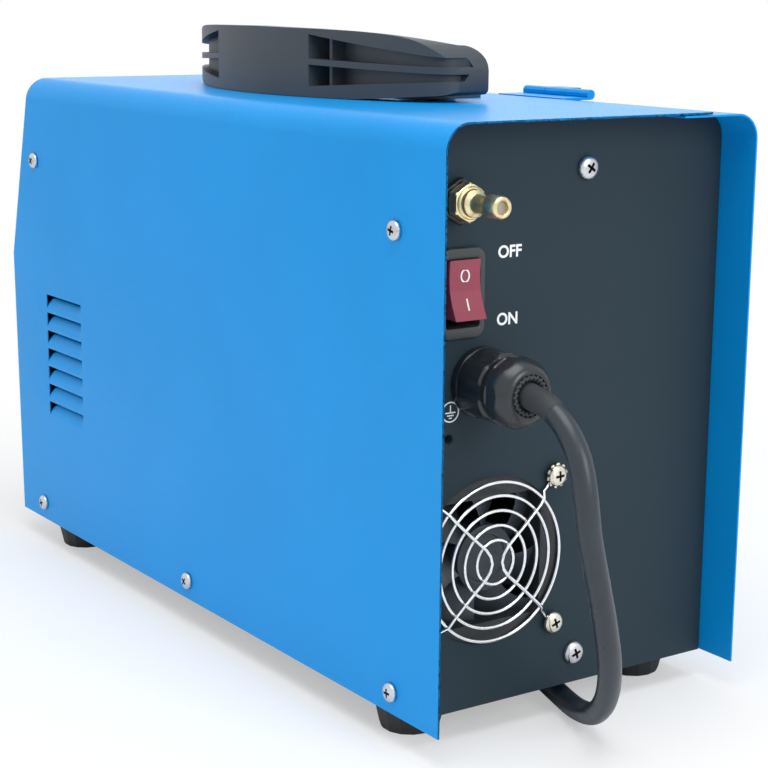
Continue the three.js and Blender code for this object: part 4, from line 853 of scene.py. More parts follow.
class SCENE_OT_welder_lead(bpy.types.Operator):
    """Makes the mains lead with its coil, tie and plug"""

    bl_idname = "welder.lead"
    bl_label = "Mains Lead"

    def execute(self, context):
        lead = context.scene.welder_lead
        route = lead_route(lead)
        cord = wire_curve("mains_lead", [(route, False)], lead.diameter, "sheath", 8)
        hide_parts("power_cord", "power_cord_coil")
        plug = self.make_plug(lead)
        tie = self.make_tie(lead)
        return {"FINISHED"}

    def make_plug(self, lead):
        """A moulded plug with its ribbed strain relief and two pins."""
        leave = coil_direction(lead, COIL_TURNS)
        end = coil_spiral(lead, COIL_TURNS) + leave * (lead.tail / MM + PLUG_GAP)
        place = facing(lead_point(end), leave)
        form = bmesh.new()
        profile = [(0, 0), (7.75, 0)]
        for rib in range(6):
            foot = 1.0 + rib * 3.8
            radius = 7.8 + rib * 0.5
            profile += [(radius, foot), (radius + 0.5, foot + 0.3), (radius + 0.5, foot + 2.2)]
            profile += [(radius - 0.4, foot + 2.5), (radius - 0.4, foot + 3.4)]
        profile += [(10.75, 24), (13.2, 27), (15, 33), (16.6, 43), (18.2, 50)]
        profile += [(18.8, 52), (19, 53), (19, 69), (18.5, 69.8), (17.6, 70)]
        profile += [(0, 70)]
        revolve(form, profile, place, ROUND_MIDDLE)
        pin = [(0, 69.5), (2.4, 69.5), (2.4, 88.2), (2.1, 89.4), (1.4, 89.95), (0, 90)]
        for side in (-0.5, 0.5):
            revolve(form, pin, place @ move(side * PIN_SPACING, 0.0, 0.0), 20, 1)
        plug = finish_mesh("mains_plug", form, ("black_plastic", "nickel"))
        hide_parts("power_plug")
        return plug

    def make_tie(self, lead):
        """A hook-and-loop strap round the coil's turns."""
        pitch = lead.coil_pitch / MM
        middle = lead.coil_radius / MM
        reach = pitch * (lead.layer_turns / 2 + 0.5) + 1.6
        form = bmesh.new()
        low = LEAD_LIE - lead.diameter / MM / 2 - 0.1
        high = LEAD_LIE + LAYER_RISE + lead.diameter / MM / 2 + 1.3
        outline = round_box(reach * 2, high - low, 6.0, 8)
        centre = Vector((COIL_CENTRE[0] - middle, COIL_CENTRE[1], (low + high) / 2))
        place = facing(lead_point(centre), (0.0, 1.0, 0.0))
        inner = [(x * (1 - 1.2 / reach), y * (1 - 2.4 / (high - low))) for x, y in outline]
        band(form, outline, inner, -8.0, 8.0, place)
        tie = finish_mesh("coil_tie", form, ("foot_rubber",))
        return tie


# ---------------- rear: fan and guard

FAN_SPOT = (52, 80.1)
FAN_RINGS = (12.0, 20.0, 28.0, 36.0, 43.4)
FAN_SIZE = 92.0
FAN_WAIST = 90.0
FAN_BORE = 45.4
FAN_HUB = 18.5
FAN_DEPTH = 25.4
FAN_BLADES = 7
STRUT_TURN = 0.45
SCREW_SHANK = 2.2
SEAT = 0.3
SHEET = 1.2


def ring_points(place, radius, height, start=0.0, sweep=math.tau, steps=96):
    """Points on a circle round the place's local Z, in metres."""
    full = abs(sweep - math.tau) < 1e-6
    count = steps if full else steps + 1
    points = []
    for step in range(count):
        angle = start + sweep * step / steps
        local = Vector((radius * math.cos(angle), radius * math.sin(angle), height)) * MM
        points.append(place @ local)
    return points


class SCENE_OT_welder_fan(bpy.types.Operator):
    """Makes the fan's frame and rotor and the wire guard over it"""

    bl_idname = "welder.fan"
    bl_label = "Fan and Guard"

    def execute(self, context):
        settings = context.scene.welder_fan
        place = on_rear(*FAN_SPOT)
        self.make_guard(settings, place)
        self.make_frame(place)
        self.make_rotor(place)
        return {"FINISHED"}

    def make_guard(self, settings, place):
        """Five rings of bright wire, and two spokes over them, looped round the screws."""
        wire = settings.wire / MM / 2
        reach = settings.hole_spacing / MM / 2
        loop_plane = SEAT + wire
        ring_plane = 2.6 + wire
        spoke_plane = ring_plane + 1.8 * wire
        runs = [(ring_points(place, radius, ring_plane), True) for radius in FAN_RINGS]
        eye = SCREW_SHANK + SEAT + wire
        for side in (-1, 1):
            runs.append((self.spoke(place, side, reach, eye, loop_plane, spoke_plane), False))
        guard = wire_curve("guard_wires", runs, settings.wire, "wire", 6)
        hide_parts("fan_guard")

    def spoke(self, place, side, reach, eye, loop_plane, spoke_plane):
        """One spoke: an eye, a step out over the rings, the bend near the middle, and back."""

        def at(across, up, height):
            return place @ (Vector((side * across, up, height)) * MM)

        near = reach - eye * 0.75
        half = [
            at(near, near, loop_plane),
            at(reach - 7.6, reach - 8.2, loop_plane + 0.1),
            at(31.0, 30.2, spoke_plane - 0.2),
            at(28.0, 27.0, spoke_plane),
            at(18.0, 17.6, spoke_plane),
            at(7.4, 8.2, spoke_plane),
            at(4.4, 4.2, spoke_plane),
        ]
        middle = at(3.2, 0.0, spoke_plane)
        flip = place @ Matrix.Diagonal((1.0, -1.0, 1.0, 1.0)) @ place.inverted()
        run = catmull([*half, middle, *[flip @ point for point in reversed(half)]], 1.2)
        start = math.radians(225.0 if side > 0 else 315.0)
        eyes = []
        for up in (1, -1):
            centre = place @ move(side * reach, up * reach, 0.0)
            first = start if up > 0 else -start
            sweep = math.radians(330.0) * (-side * up)
            eyes.append(ring_points(centre, eye, loop_plane, first, sweep, 28))
        return [*reversed(eyes[0]), *run[1:-1], *eyes[1]]

    def make_frame(self, place):
        """The fan's square frame with its round duct, its hub plate and four struts."""
        form = bmesh.new()
        back = -(SHEET + SEAT)
        steps = 24
        square = round_box(FAN_SIZE, FAN_SIZE, 5.0, steps)
        angles = [math.atan2(y, x) for x, y in square]

        def duct(radius):
            return [(radius * math.cos(angle), radius * math.sin(angle)) for angle in angles]

        waist = round_box(FAN_WAIST, FAN_WAIST, 4.0, steps)
        front = back - FAN_DEPTH
        rings = (
            (square, back), (square, back - 4.0), (waist, back - 4.3), (waist, front + 4.3),
            (square, front + 4.0), (square, front),
            (duct(FAN_BORE), front), (duct(FAN_BORE - 1.0), front + 6.0),
            (duct(FAN_BORE - 1.0), back - 6.0), (duct(FAN_BORE), back - 1.0),
            (duct(FAN_BORE + 0.5), back), (square, back),
        )
        loft(form, rings, place)
        inner = FAN_HUB - 1.0
        hub = [(0, front), (FAN_HUB, front), (FAN_HUB, front + 3.6), (inner, front + 4.0)]
        revolve(form, [*hub, (0.0, front + 4.0)], place, ROUND_MIDDLE)
        outer = FAN_BORE + 0.2
        half = 3.0
        for strut in range(4):
            turn = place @ Matrix.Rotation(math.tau * strut / 4 + STRUT_TURN, 4, "Z")
            strip = [(inner, -half), (outer, -half), (outer, half), (inner, half)]
            extrude(form, strip, front + 0.1, front + 3.3, turn)
        frame_piece = finish_mesh("fan_duct", form, ("black_plastic",))
        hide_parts("fan_frame")

    def make_rotor(self, place):
        """Seven swept blades on a cup with a rounded rim and a dished face."""
        form = bmesh.new()
        back = -(SHEET + SEAT)
        top = back - 3.2
        foot = back - FAN_DEPTH + 5.2
        cup = [(0.0, top - 1.2), (4.0, top - 1.2), (5.0, top - 0.9), (12.5, top - 0.9)]
        cup += [(13.2, top), (FAN_HUB - 1.4, top), (FAN_HUB - 0.4, top - 0.5)]
        cup += [(FAN_HUB, top - 1.5), (FAN_HUB, foot), (FAN_HUB - 1.4, foot)]
        cup += [(FAN_HUB - 1.4, top - 4.0), (0.0, top - 4.0)]
        revolve(form, cup, place, 84)
        for blade in range(FAN_BLADES):
            turn = place @ Matrix.Rotation(math.tau * (blade + 0.5) / FAN_BLADES, 4, "Z")
            self.blade(form, turn, top - 0.8, foot + 0.6)
        rotor = finish_mesh("fan_blades", form, ("fan_plastic",), "fan_rotor")
        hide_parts("fan_rotor")

    def blade(self, form, place, high, low):
        """One blade, twisted more at its root and swept forwards at its tip."""
        spans = 7
        chords = 9
        layers = []
        for side in (0.75, -0.75):
            grid = []
            for span in range(spans + 1):
                share = span / spans
                radius = FAN_HUB - 1.2 + (FAN_BORE - 1.8 - FAN_HUB + 1.2) * share
                width = math.radians(44.0 + 3.0 * share)
                lead = math.radians(14.0) * share * share
                line = []
                for chord in range(chords + 1):
                    along = chord / chords
                    angle = lead + width * (along - 0.5)
                    camber = 1.5 * math.sin(math.pi * along)
                    thin = side * (0.35 + 0.65 * math.sin(math.pi * min(1.0, 0.12 + along * 0.8)))
                    height = low + (high - low) * along + camber + thin
                    height = min(max(height, low), high)
                    point = Vector((radius * math.cos(angle), radius * math.sin(angle), height))
                    line.append(form.verts.new(place @ (point * MM)))
                grid.append(line)
            layers.append(grid)
        for grid in layers:
            skin(form, grid, closed=False)
        upper, lower = layers
        for span in range(spans):
            for edge in (0, chords):
                corners = (upper[span][edge], upper[span + 1][edge])
                form.faces.new((*corners, lower[span + 1][edge], lower[span][edge]))
        for chord in range(chords):
            for edge in (0, spans):
                corners = (upper[edge][chord], upper[edge][chord + 1])
                form.faces.new((*corners, lower[edge][chord + 1], lower[edge][chord]))


# ---------------- screws

SIDE_SCREWS = (
    "side_screw_front_low", "side_screw_middle", "side_screw_rear_low",
    "side_screw_front_high", "side_screw_rear_high",
)
REAR_SCREWS = ("rear_screw_low", "rear_screw_high")
FAN_SCREWS = (
    "fan_screw_left_low", "fan_screw_right_low",
    "fan_screw_left_high", "fan_screw_right_high",
)
SCREW_HEAD = 3.0
RECESS_TAPER = 0.42
# The first screw's turn in degrees, as driven home, and what each next one adds to it.
DRIVEN_START = 19.0
DRIVEN_STEP = 37.0


def pan_head(finish):
    """The mesh of a pan-head screw with its cross recess, head along Z, in metres."""
    form = bmesh.new()
    profile = [(0, -9), (1.7, -9), (SCREW_SHANK, -8.4)]
    for ridge in range(6):
        foot = -8.0 + ridge * 1.25
        profile += [(1.85, foot), (SCREW_SHANK, foot + 0.62)]
    profile += [(SCREW_SHANK, 0), (5, 0), (5.3, 0.25), (5.3, 0.9), (5.15, 1.45)]
    profile += [(4.8, 1.95), (4.2, 2.4), (3.4, 2.72), (2.4, 2.92), (1.2, 3), (0, 3)]
    revolve(form, profile, Matrix.Identity(4))
    head = finish_mesh("screw_blank", form, (finish,), sharp=50.0)
    form = bmesh.new()
    arm = 2.9
    half = 0.72
    quarter = [(arm, -half), (arm, half), (half, half)]
    cross = [*quarter, (half, arm), (-half, arm), (-half, half), (-arm, half), (-arm, -half)]
    cross += [(-half, -half), (-half, -arm), (half, -arm), (half, -half)]
    deep = [(x * RECESS_TAPER, y * RECESS_TAPER) for x, y in cross]
    loft(form, ((deep, 0.6), (cross, 3.4)), Matrix.Identity(4), capped=True)
    cutter = finish_mesh("recess", form, ("dark",))
    # The cutter's near-black finish passes to the cross recess's walls: painted shade in the
    # recess.
    combine(head, cutter, "DIFFERENCE").material_mode = "TRANSFER"
    mesh = applied(head, cutter)
    mesh.name = f"pan_head_{finish}"
    smooth(mesh, 40.0)
    return mesh


class SCENE_OT_welder_screws(bpy.types.Operator):
    """Makes the pan-head screws of the covers, the rear panel and the fan"""

    bl_idname = "welder.screws"
    bl_label = "Screws"

    def execute(self, context):
        zinc = pan_head("zinc")
        nickel = pan_head("nickel")
        groups = (
            (SIDE_SCREWS, zinc, (1.0, 0.0, 0.0), 1.0),
            (REAR_SCREWS, zinc, (0.0, 1.0, 0.0), 1.2),
            (FAN_SCREWS, nickel, (0.0, 1.0, 0.0), 1.12),
        )
        for names, mesh, outward, scale in groups:
            for count, name in enumerate(names):
                turn = math.radians(DRIVEN_START + DRIVEN_STEP * count)
                self.seat_screw(name, mesh, Vector(outward), turn, scale)
        self.make_washer("fan_screw_left_high")
        return {"FINISHED"}

    def seat_screw(self, name, mesh, outward, turn, scale):
        """Puts a screw where its solid is, turned as it was driven home."""
        low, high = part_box(name)
        middle = (low + high) / 2
        height = high.dot(outward) - SCREW_HEAD * MM
        point = middle + outward * (height - middle.dot(outward))
        piece = bpy.data.objects.new(f"{name}_head", mesh)
        bpy.context.scene.collection.objects.link(piece)
        seated = facing(point, outward) @ Matrix.Rotation(turn, 4, "Z")
        piece.matrix_world = seated @ Matrix.Scale(scale, 4)
        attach(piece, "casing")
        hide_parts(name)

    def make_washer(self, name):
        """A toothed lock washer under one screw of the fan, for the guard's earth."""
        low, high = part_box(name)
        middle = (low + high) / 2
        place = facing((middle.x, high.y - SCREW_HEAD * MM, middle.z), (0.0, 1.0, 0.0))
        form = bmesh.new()
        teeth = 10
        unit = circle(0.0, 0.0, 1.0, teeth * 6)
        reach = [6.9 if step % 6 in (1, 2, 3) else 5.9 for step in range(teeth * 6)]
        outer = [(far * x, far * y) for far, (x, y) in zip(reach, unit)]
        band(form, outer, circle(0.0, 0.0, 2.6, teeth * 6), -0.25, 0.45, place)
        for vertex in form.verts:
            local = place.inverted() @ vertex.co
            angle = math.atan2(local.y, local.x)
            wave = 0.35 * math.sin(teeth * angle) * max(0.0, local.length / MM - 4.0) / 3.0
            vertex.co = place @ (local + Vector((0.0, 0.0, wave * MM)))
        washer = finish_mesh("star_washer", form, ("nickel",))


# ---------------- switch, gas tail and gland

SWITCH_SPOT = (75, 225)
# The switch's frame from its back to the well's floor: width, height, corner and level.
SWITCH_RINGS = (
    (21.6, 38.8, 1.0, -27.5), (22.4, 39.4, 1.2, -27.0), (22.4, 39.4, 1.2, SEAT),
    (28.0, 47.0, 6.0, SEAT), (28.0, 47.0, 6.0, 1.3), (27.6, 46.6, 5.8, 2.0),
    (26.8, 45.8, 5.4, 2.5), (25.4, 44.4, 4.8, 2.7), (22.4, 36.6, 2.0, 2.7),
    (21.4, 35.4, 1.5, 2.4), (20.9, 34.8, 1.2, 1.6), (20.9, 34.8, 1.2, -23.0),
)
ROCKER_PIVOT = -6.0
ROCKER_TILT = math.radians(11.0)
ROCKER_DISH = 0.55
ROCKER_ROUND = 0.00055
# Where the marks stand on the rocker, as a share of half its height.
MARK_SHARE = 0.47
GAS_SPOT = (78, 272)
GLAND_SPOT = (62, 178)
EARTH_SPOT = (81, 149.7)
EARTH_SIGN_SPOT = (80.2, 163.9)
# Widths over flats of the gas tail and its nut, and of the gland and its dome nut.
GAS_FLATS = (17.8, 20.8)
GLAND_FLATS = (35.4, 35.2)
# How far out of the panel the strain relief starts, and how long it is.
RELIEF_START = 35.0
RELIEF_LENGTH = 24.0


def hex_limit(flats):
    """Keeps a turned shape inside a hexagon of that width over flats."""

    def limit(radius, height, angle):
        within = (angle + math.pi / 6) % (math.pi / 3) - math.pi / 6
        return min(radius, flats / 2 / math.cos(within))

    return limit


class SCENE_OT_welder_switch(bpy.types.Operator):
    """Makes the mains switch: its rounded frame, the rocker and the marks on it"""

    bl_idname = "welder.switch"
    bl_label = "Mains Switch"

    def execute(self, context):
        place = on_rear(*SWITCH_SPOT)
        self.make_frame(place)
        self.make_rocker(place)
        return {"FINISHED"}

    def make_frame(self, place):
        """The frame, rounded outside, with the well for the rocker and the body behind it."""
        form = bmesh.new()
        rings = [(round_box(*size, 10), height) for *size, height in SWITCH_RINGS]
        loft(form, rings, place, capped=True)
        for side in (-5, 5):
            for row in (-12.0, 0.0, 12.0):
                tab = place @ move(side, row, -27.8)
                extrude(form, round_box(0.8, 6.3, 0.2, 2), -0.1, 0.5, tab, 1)
        frame_piece = finish_mesh("switch_frame", form, ("switch_plastic", "zinc"))
        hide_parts("switch_body")

    def make_rocker(self, place):
        """The rocker with two dished faces, its upper half pressed in, and its two marks."""
        pivot = place @ move(0.0, 0.0, ROCKER_PIVOT) @ Matrix.Rotation(-ROCKER_TILT, 4, "X")
        form = bmesh.new()
        half = 15.5
        front = 10.4
        rise = half * math.tan(ROCKER_TILT)
        face = []
        steps = 14
        for step in range(-steps, steps + 1):
            share = abs(step) / steps
            dish = ROCKER_DISH * math.sin(math.pi * share)
            face.append((half * step / steps, front + rise * share - dish))
        outline = [*face, (half * 0.93, front - 1.6), (half * 0.82, 2.0), (half * 0.4, -6.0)]
        outline += [(-half * 0.4, -6.0), (-half * 0.82, 2.0), (-half * 0.93, front - 1.6)]
        extrude(form, outline, -9.75, 9.75, pivot @ ALONG_X)
        cap = finish_mesh("rocker_cap", form, ("red_plastic",), "rocker")
        soften(cap, ROCKER_ROUND, 3, 24.0)
        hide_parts("rocker")
        marks = bmesh.new()
        ring = circle(0.0, 0.0, 1.0, 40)
        upper = self.on_face(pivot, front, rise, half, 1)
        outer = [(2.9 * x, 3.6 * y) for x, y in ring]
        inner = [(2.05 * x, 2.75 * y) for x, y in ring]
        band(marks, outer, inner, -0.1, 0.1, upper)
        lower = self.on_face(pivot, front, rise, half, -1)
        extrude(marks, round_box(0.9, 7.2, 0.3, 3), -0.1, 0.1, lower)
        print_piece = finish_mesh("rocker_marks", marks, ("white_ink",), "rocker")

    def on_face(self, pivot, front, rise, half, side):
        """A place on one half of the rocker's face, for its mark."""
        share = MARK_SHARE
        height = front + rise * share - ROCKER_DISH * math.sin(math.pi * share)
        slope = (rise - ROCKER_DISH * math.pi * math.cos(math.pi * share)) / half
        tilt = Matrix.Rotation(math.atan(slope) * side, 4, "X")
        return pivot @ move(0.0, side * half * share, height) @ tilt


class SCENE_OT_welder_gas(bpy.types.Operator):
    """Makes the brass gas tail and its nut"""

    bl_idname = "welder.gas"
    bl_label = "Gas Tail"

    def execute(self, context):
        place = on_rear(*GAS_SPOT)
        form = bmesh.new()
        shank = [(3.4, -14), (6.4, -14)]
        shank += thread(-13.6, 4.2, 7.0, 6.5, 1.25)
        shank += [(6.9, 4.5), (7.4, 4.8)]
        nut = [(7.4, 4.8), (9.1, 4.8), (10.2, 5.4), (10.2, 10.6), (9.3, 11.2), (8.4, 11.4)]
        revolve(form, shank, place, ROUND)
        revolve(form, nut, place, ROUND, shape=hex_limit(GAS_FLATS[0]))
        tail = [(8.4, 11.4), (8.4, 12.3), (7.9, 12.8), (7.3, 12.9), (7.1, 15.4), (6.6, 16)]
        tail += [(5.1, 16.5), (4.5, 17.3), (4.4, 18.4), (4.4, 26.2), (4.8, 26.9)]
        tail += [(5.6, 27.3), (5.8, 28), (5.75, 33), (5.65, 36.3), (5.3, 37.2), (4.8, 37.6)]
        tail += [(3.9, 37.6), (3.4, 37.1), (3.4, 35)]
        revolve(form, tail, place, ROUND)
        revolve(form, [(3.4, 35), (0, 35.2)], place, ROUND, 1)
        revolve(form, [(3.4, -14), (0, -13.8)], place, ROUND, 1)
        brass = finish_mesh("gas_tail", form, ("brass", "filter"))
        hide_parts("gas_fitting")
        ring = [(7.3, SEAT), (11.2, SEAT), (12, 0.9), (12, 3.8), (11.2, 4.4), (7.9, 4.4)]
        ring += [(7.3, 4), (7.3, SEAT)]
        flats = hex_limit(GAS_FLATS[1])
        lock = turned("gas_lock_nut", ring, place, ROUND, "gland_plastic", shape=flats)
        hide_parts("gas_nut")
        return {"FINISHED"}


class SCENE_OT_welder_gland(bpy.types.Operator):
    """Makes the cable gland: its base, dome nut, clamping fingers and strain relief"""

    bl_idname = "welder.gland"
    bl_label = "Cable Gland"

    def execute(self, context):
        place = on_rear(*GLAND_SPOT)
        form = bmesh.new()
        base = [(6.9, -12), (11.2, -12)]
        base += thread(-11.6, -1.6, 12.0, 11.3, 1.5)
        base += [(12, SEAT), (18.1, SEAT), (18.5, 0.8), (18.5, 4.4), (18.1, 4.9), (17.2, 5.1)]
        revolve(form, base, place, ROUND)
        hexagon = [(17.2, 5.1), (18.5, 5.7), (18.5, 22), (17.7, 22.8), (16.4, 23.2)]
        revolve(form, hexagon, place, ROUND, shape=hex_limit(GLAND_FLATS[0]))
        neck = [(16.4, 23.2), (15.7, 23.4), (15.7, 26.5), (11, 26.6), (6.9, 26.6), (6.9, -12)]
        revolve(form, neck, place, ROUND)
        body = finish_mesh("gland_base", form, ("gland_plastic",))
        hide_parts("gland_body")
        self.make_nut(place)
        self.make_seal(place)
        self.make_relief(context.scene.welder_lead)
        return {"FINISHED"}

    def make_nut(self, place):
        """The dome nut: a round skirt, six flats, and a dome that closes on the fingers."""
        start = 26.9
        dome = [(12.6, start), (17.6, start), (18.3, start + 0.5), (18.5, start + 1.2)]
        dome += [(18.5, 32.8), (18.3, 34.4), (17.8, 36), (17, 37.7), (16, 39.3)]
        dome += [(14.8, 40.8), (13.5, 41.9), (12.4, 42.4), (11.6, 42.5), (11, 42.3)]
        dome += [(10.8, 41.6), (10.8, 29), (12.6, 28), (12.6, start)]

        def flats(radius, height, angle):
            if height < 28.6 or radius < 12.7:
                return radius
            return hex_limit(GLAND_FLATS[1])(radius, height, angle)

        dome = spread(dome, 0.7)
        nut = turned("gland_dome", dome, place, 144, "gland_plastic", shape=flats, sharp=20.0)
        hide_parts("gland_nut")

    def make_seal(self, place):
        """The ring of clamping fingers round the lead, with a slit between each two."""
        fingers = 22
        ring = [(6.9, 30), (10.4, 30), (10.45, 40.6), (10.2, 41.9), (9.6, 42.7), (8.8, 42.9)]
        ring += [(8, 42.4), (7.3, 41.2), (6.95, 39.8), (6.9, 38), (6.9, 30)]

        def slit(radius, height, angle):
            if height < 38.0:
                return radius
            wave = math.cos(fingers * angle)
            return radius + max(0.0, wave) ** 0.5 * 0.9 * min(1.0, (height - 38.0) / 3.0)

        ring = spread(ring, 0.8)
        steps = fingers * 12
        finish = "seal_rubber"
        seal = turned("gland_fingers", ring, place, steps, finish, shape=slit, sharp=50.0)
        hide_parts("gland_seal")

    def make_relief(self, lead):
        """A tapered rubber sleeve that starts inside the fingers and follows the lead."""
        route = lead_route(lead)
        start = rear_spot(*GLAND_SPOT, RELIEF_START)
        line = [start, *route]
        form = bmesh.new()
        radius = lead.diameter / MM / 2
        swept_taper(form, line, RELIEF_LENGTH, (radius + 0.62, radius + 0.08))
        relief = finish_mesh("lead_relief", form, ("seal_rubber",))


def thread(start, end, outer, inner, pitch):
    """The profile of a rounded thread along an axis."""
    profile = []
    count = round((end - start) / pitch)
    step = (end - start) / count
    for turn in range(count):
        foot = start + turn * step
        profile += [(inner, foot), (outer, foot + step * 0.35), (outer, foot + step * 0.6)]
    profile.append((inner, end))
    return profile


def spread(profile, step):
    """A profile with extra points, none further apart than a step."""
    dense = [profile[0]]
    for before, after in zip(profile, profile[1:]):
        span = math.dist(before, after)
        count = max(1, math.ceil(span / step))
        for part in range(1, count + 1):
            share = part / count
            dense.append(tuple(a + (b - a) * share for a, b in zip(before, after)))
    return dense


def swept_taper(form, line, length, radii, steps=32):
    """A round sleeve along the first part of a line, from one radius to another, in mm."""
    run = [line[0]]
    along = [0.0]
    for before, after in zip(line, line[1:]):
        gap = (after - before).length / MM
        if gap < 0.2:
            continue
        run.append(after)
        along.append(along[-1] + gap)
        if along[-1] >= length:
            break
    rows = []
    side = Vector((1.0, 0.0, 0.0))
    for count, (point, distance) in enumerate(zip(run, along)):
        before = run[max(0, count - 1)]
        after = run[min(len(run) - 1, count + 1)]
        forward = (after - before).normalized()
        side = (side - forward * side.dot(forward)).normalized()
        other = forward.cross(side)
        share = min(1.0, distance / along[-1])
        radius = radii[0] + (radii[1] - radii[0]) * share
        row = []
        for step in range(steps):
            angle = math.tau * step / steps
            reach = side * math.cos(angle) + other * math.sin(angle)
            row.append(form.verts.new(point + reach * radius * MM))
        rows.append(row)
    skin(form, rows)
    close_ends(form, rows)


# ---------------- rear print

INK = 0.07
# The print's lower and upper face above the panel, in millimetres.
PRINT = (0.02, INK)


def lettering(text, place, size, align, weight):
    """A thin mesh of printed words or figures, their middle height at the place."""
    curve = bpy.data.curves.new("lettering", "FONT")
    curve.body = text
    curve.size = size * MM
    curve.align_x = align
    curve.align_y = "CENTER"
    curve.extrude = INK * MM / 2
    curve.offset = size * MM * weight
    blank = bpy.data.objects.new("lettering", curve)
    bpy.context.scene.collection.objects.link(blank)
    mesh = applied(blank)
    mesh.transform(place @ Matrix.Translation((0.0, 0.0, INK * MM / 2 + PRINT[0] * MM)))
    return mesh


class SCENE_OT_welder_print(bpy.types.Operator):
    """Prints the earth symbol and the switch's two words on the rear panel"""

    bl_idname = "welder.print"
    bl_label = "Rear Print"

    def execute(self, context):
        form = bmesh.new()
        place = on_rear(*EARTH_SIGN_SPOT)
        band(form, circle(0.0, 0.0, 5.5, 56), circle(0.0, 0.0, 4.75, 56), *PRINT, place)
        strokes = ((1.55, 0.7, 4.1), (-0.35, 6.4, 0.75), (-1.85, 4.2, 0.7), (-3.2, 2.0, 0.65))
        for y, width, height in strokes:
            extrude(form, round_box(width, height, 0.15, 2), *PRINT, place @ move(0.0, y, 0.0))
        symbol = finish_mesh("earth_symbol", form, ("white_ink",))
        for name, word, z in (("word_off", "OFF", 243.9), ("word_on", "ON", 208.9)):
            mesh = lettering(word, on_rear(51.6, z), 8.7, "LEFT", 0.026)
            mesh.name = name
            mesh.materials.clear()
            mesh.materials.append(FINISHES["white_ink"])
            piece = place_object(name, mesh)
        return {"FINISHED"}


# ---------------- right cover and rear panel

COVER_LENGTH = 524.0
COVER_HEIGHT = 313.0
COVER_BEND = 14.0
NOSE_HEIGHT = 188.0
NOSE_BOTTOM = 5.0
NOSE_TOP = 34.0
SEAM = -70.0
LOUVRES = 7
LOUVRE_PITCH = 12.7
LOUVRE_LENGTH = 55.0
LOUVRE_RISE = 10.0
LOUVRE_TOP = 165.3
LOUVRE_FRONT = 55.0
LOUVRE_DEPTH = 4.6
LOUVRE_GAP = 2.1
LOUVRE_SCOOP = 3.6
# Over how much of its length a louvre's ends are rounded and its front is tucked in.
LOUVRE_END = 7.0
LOUVRE_TUCK = 9.0
# The rear panel's two screws, across from its middle and up.
PANEL_SCREWS = ((6, 17.6), (6, 284.7))


def nose_line(z):
    """How far forward the covers reach at a height, as a place along the machine."""
    front = -COVER_LENGTH / 2
    if z <= NOSE_HEIGHT:
        return front + NOSE_BOTTOM * (1 - z / NOSE_HEIGHT)
    return front + NOSE_TOP * (z - NOSE_HEIGHT) / (COVER_HEIGHT - NOSE_HEIGHT)


def fill_face(form, loops):
    """Fills the flat area inside the first loop of vertices and outside the others."""
    edges = []
    for loop in loops:
        for first, second in zip(loop, loop[1:] + loop[:1]):
            edge = form.edges.get((first, second)) or form.edges.new((first, second))
            edges.append(edge)
    bmesh.ops.triangle_fill(form, use_beauty=True, use_dissolve=False, edges=edges)


def pierced(form, outline, holes, low, high, place):
    """A plate with holes, from low to high along local Z, in millimetres."""
    levels = []
    for height in (low, high):
        loops = [loop_at(form, points, height, place) for points in (outline, *holes)]
        fill_face(form, loops)
        levels.append(loops)
    for pair in zip(*levels):
        skin(form, pair)


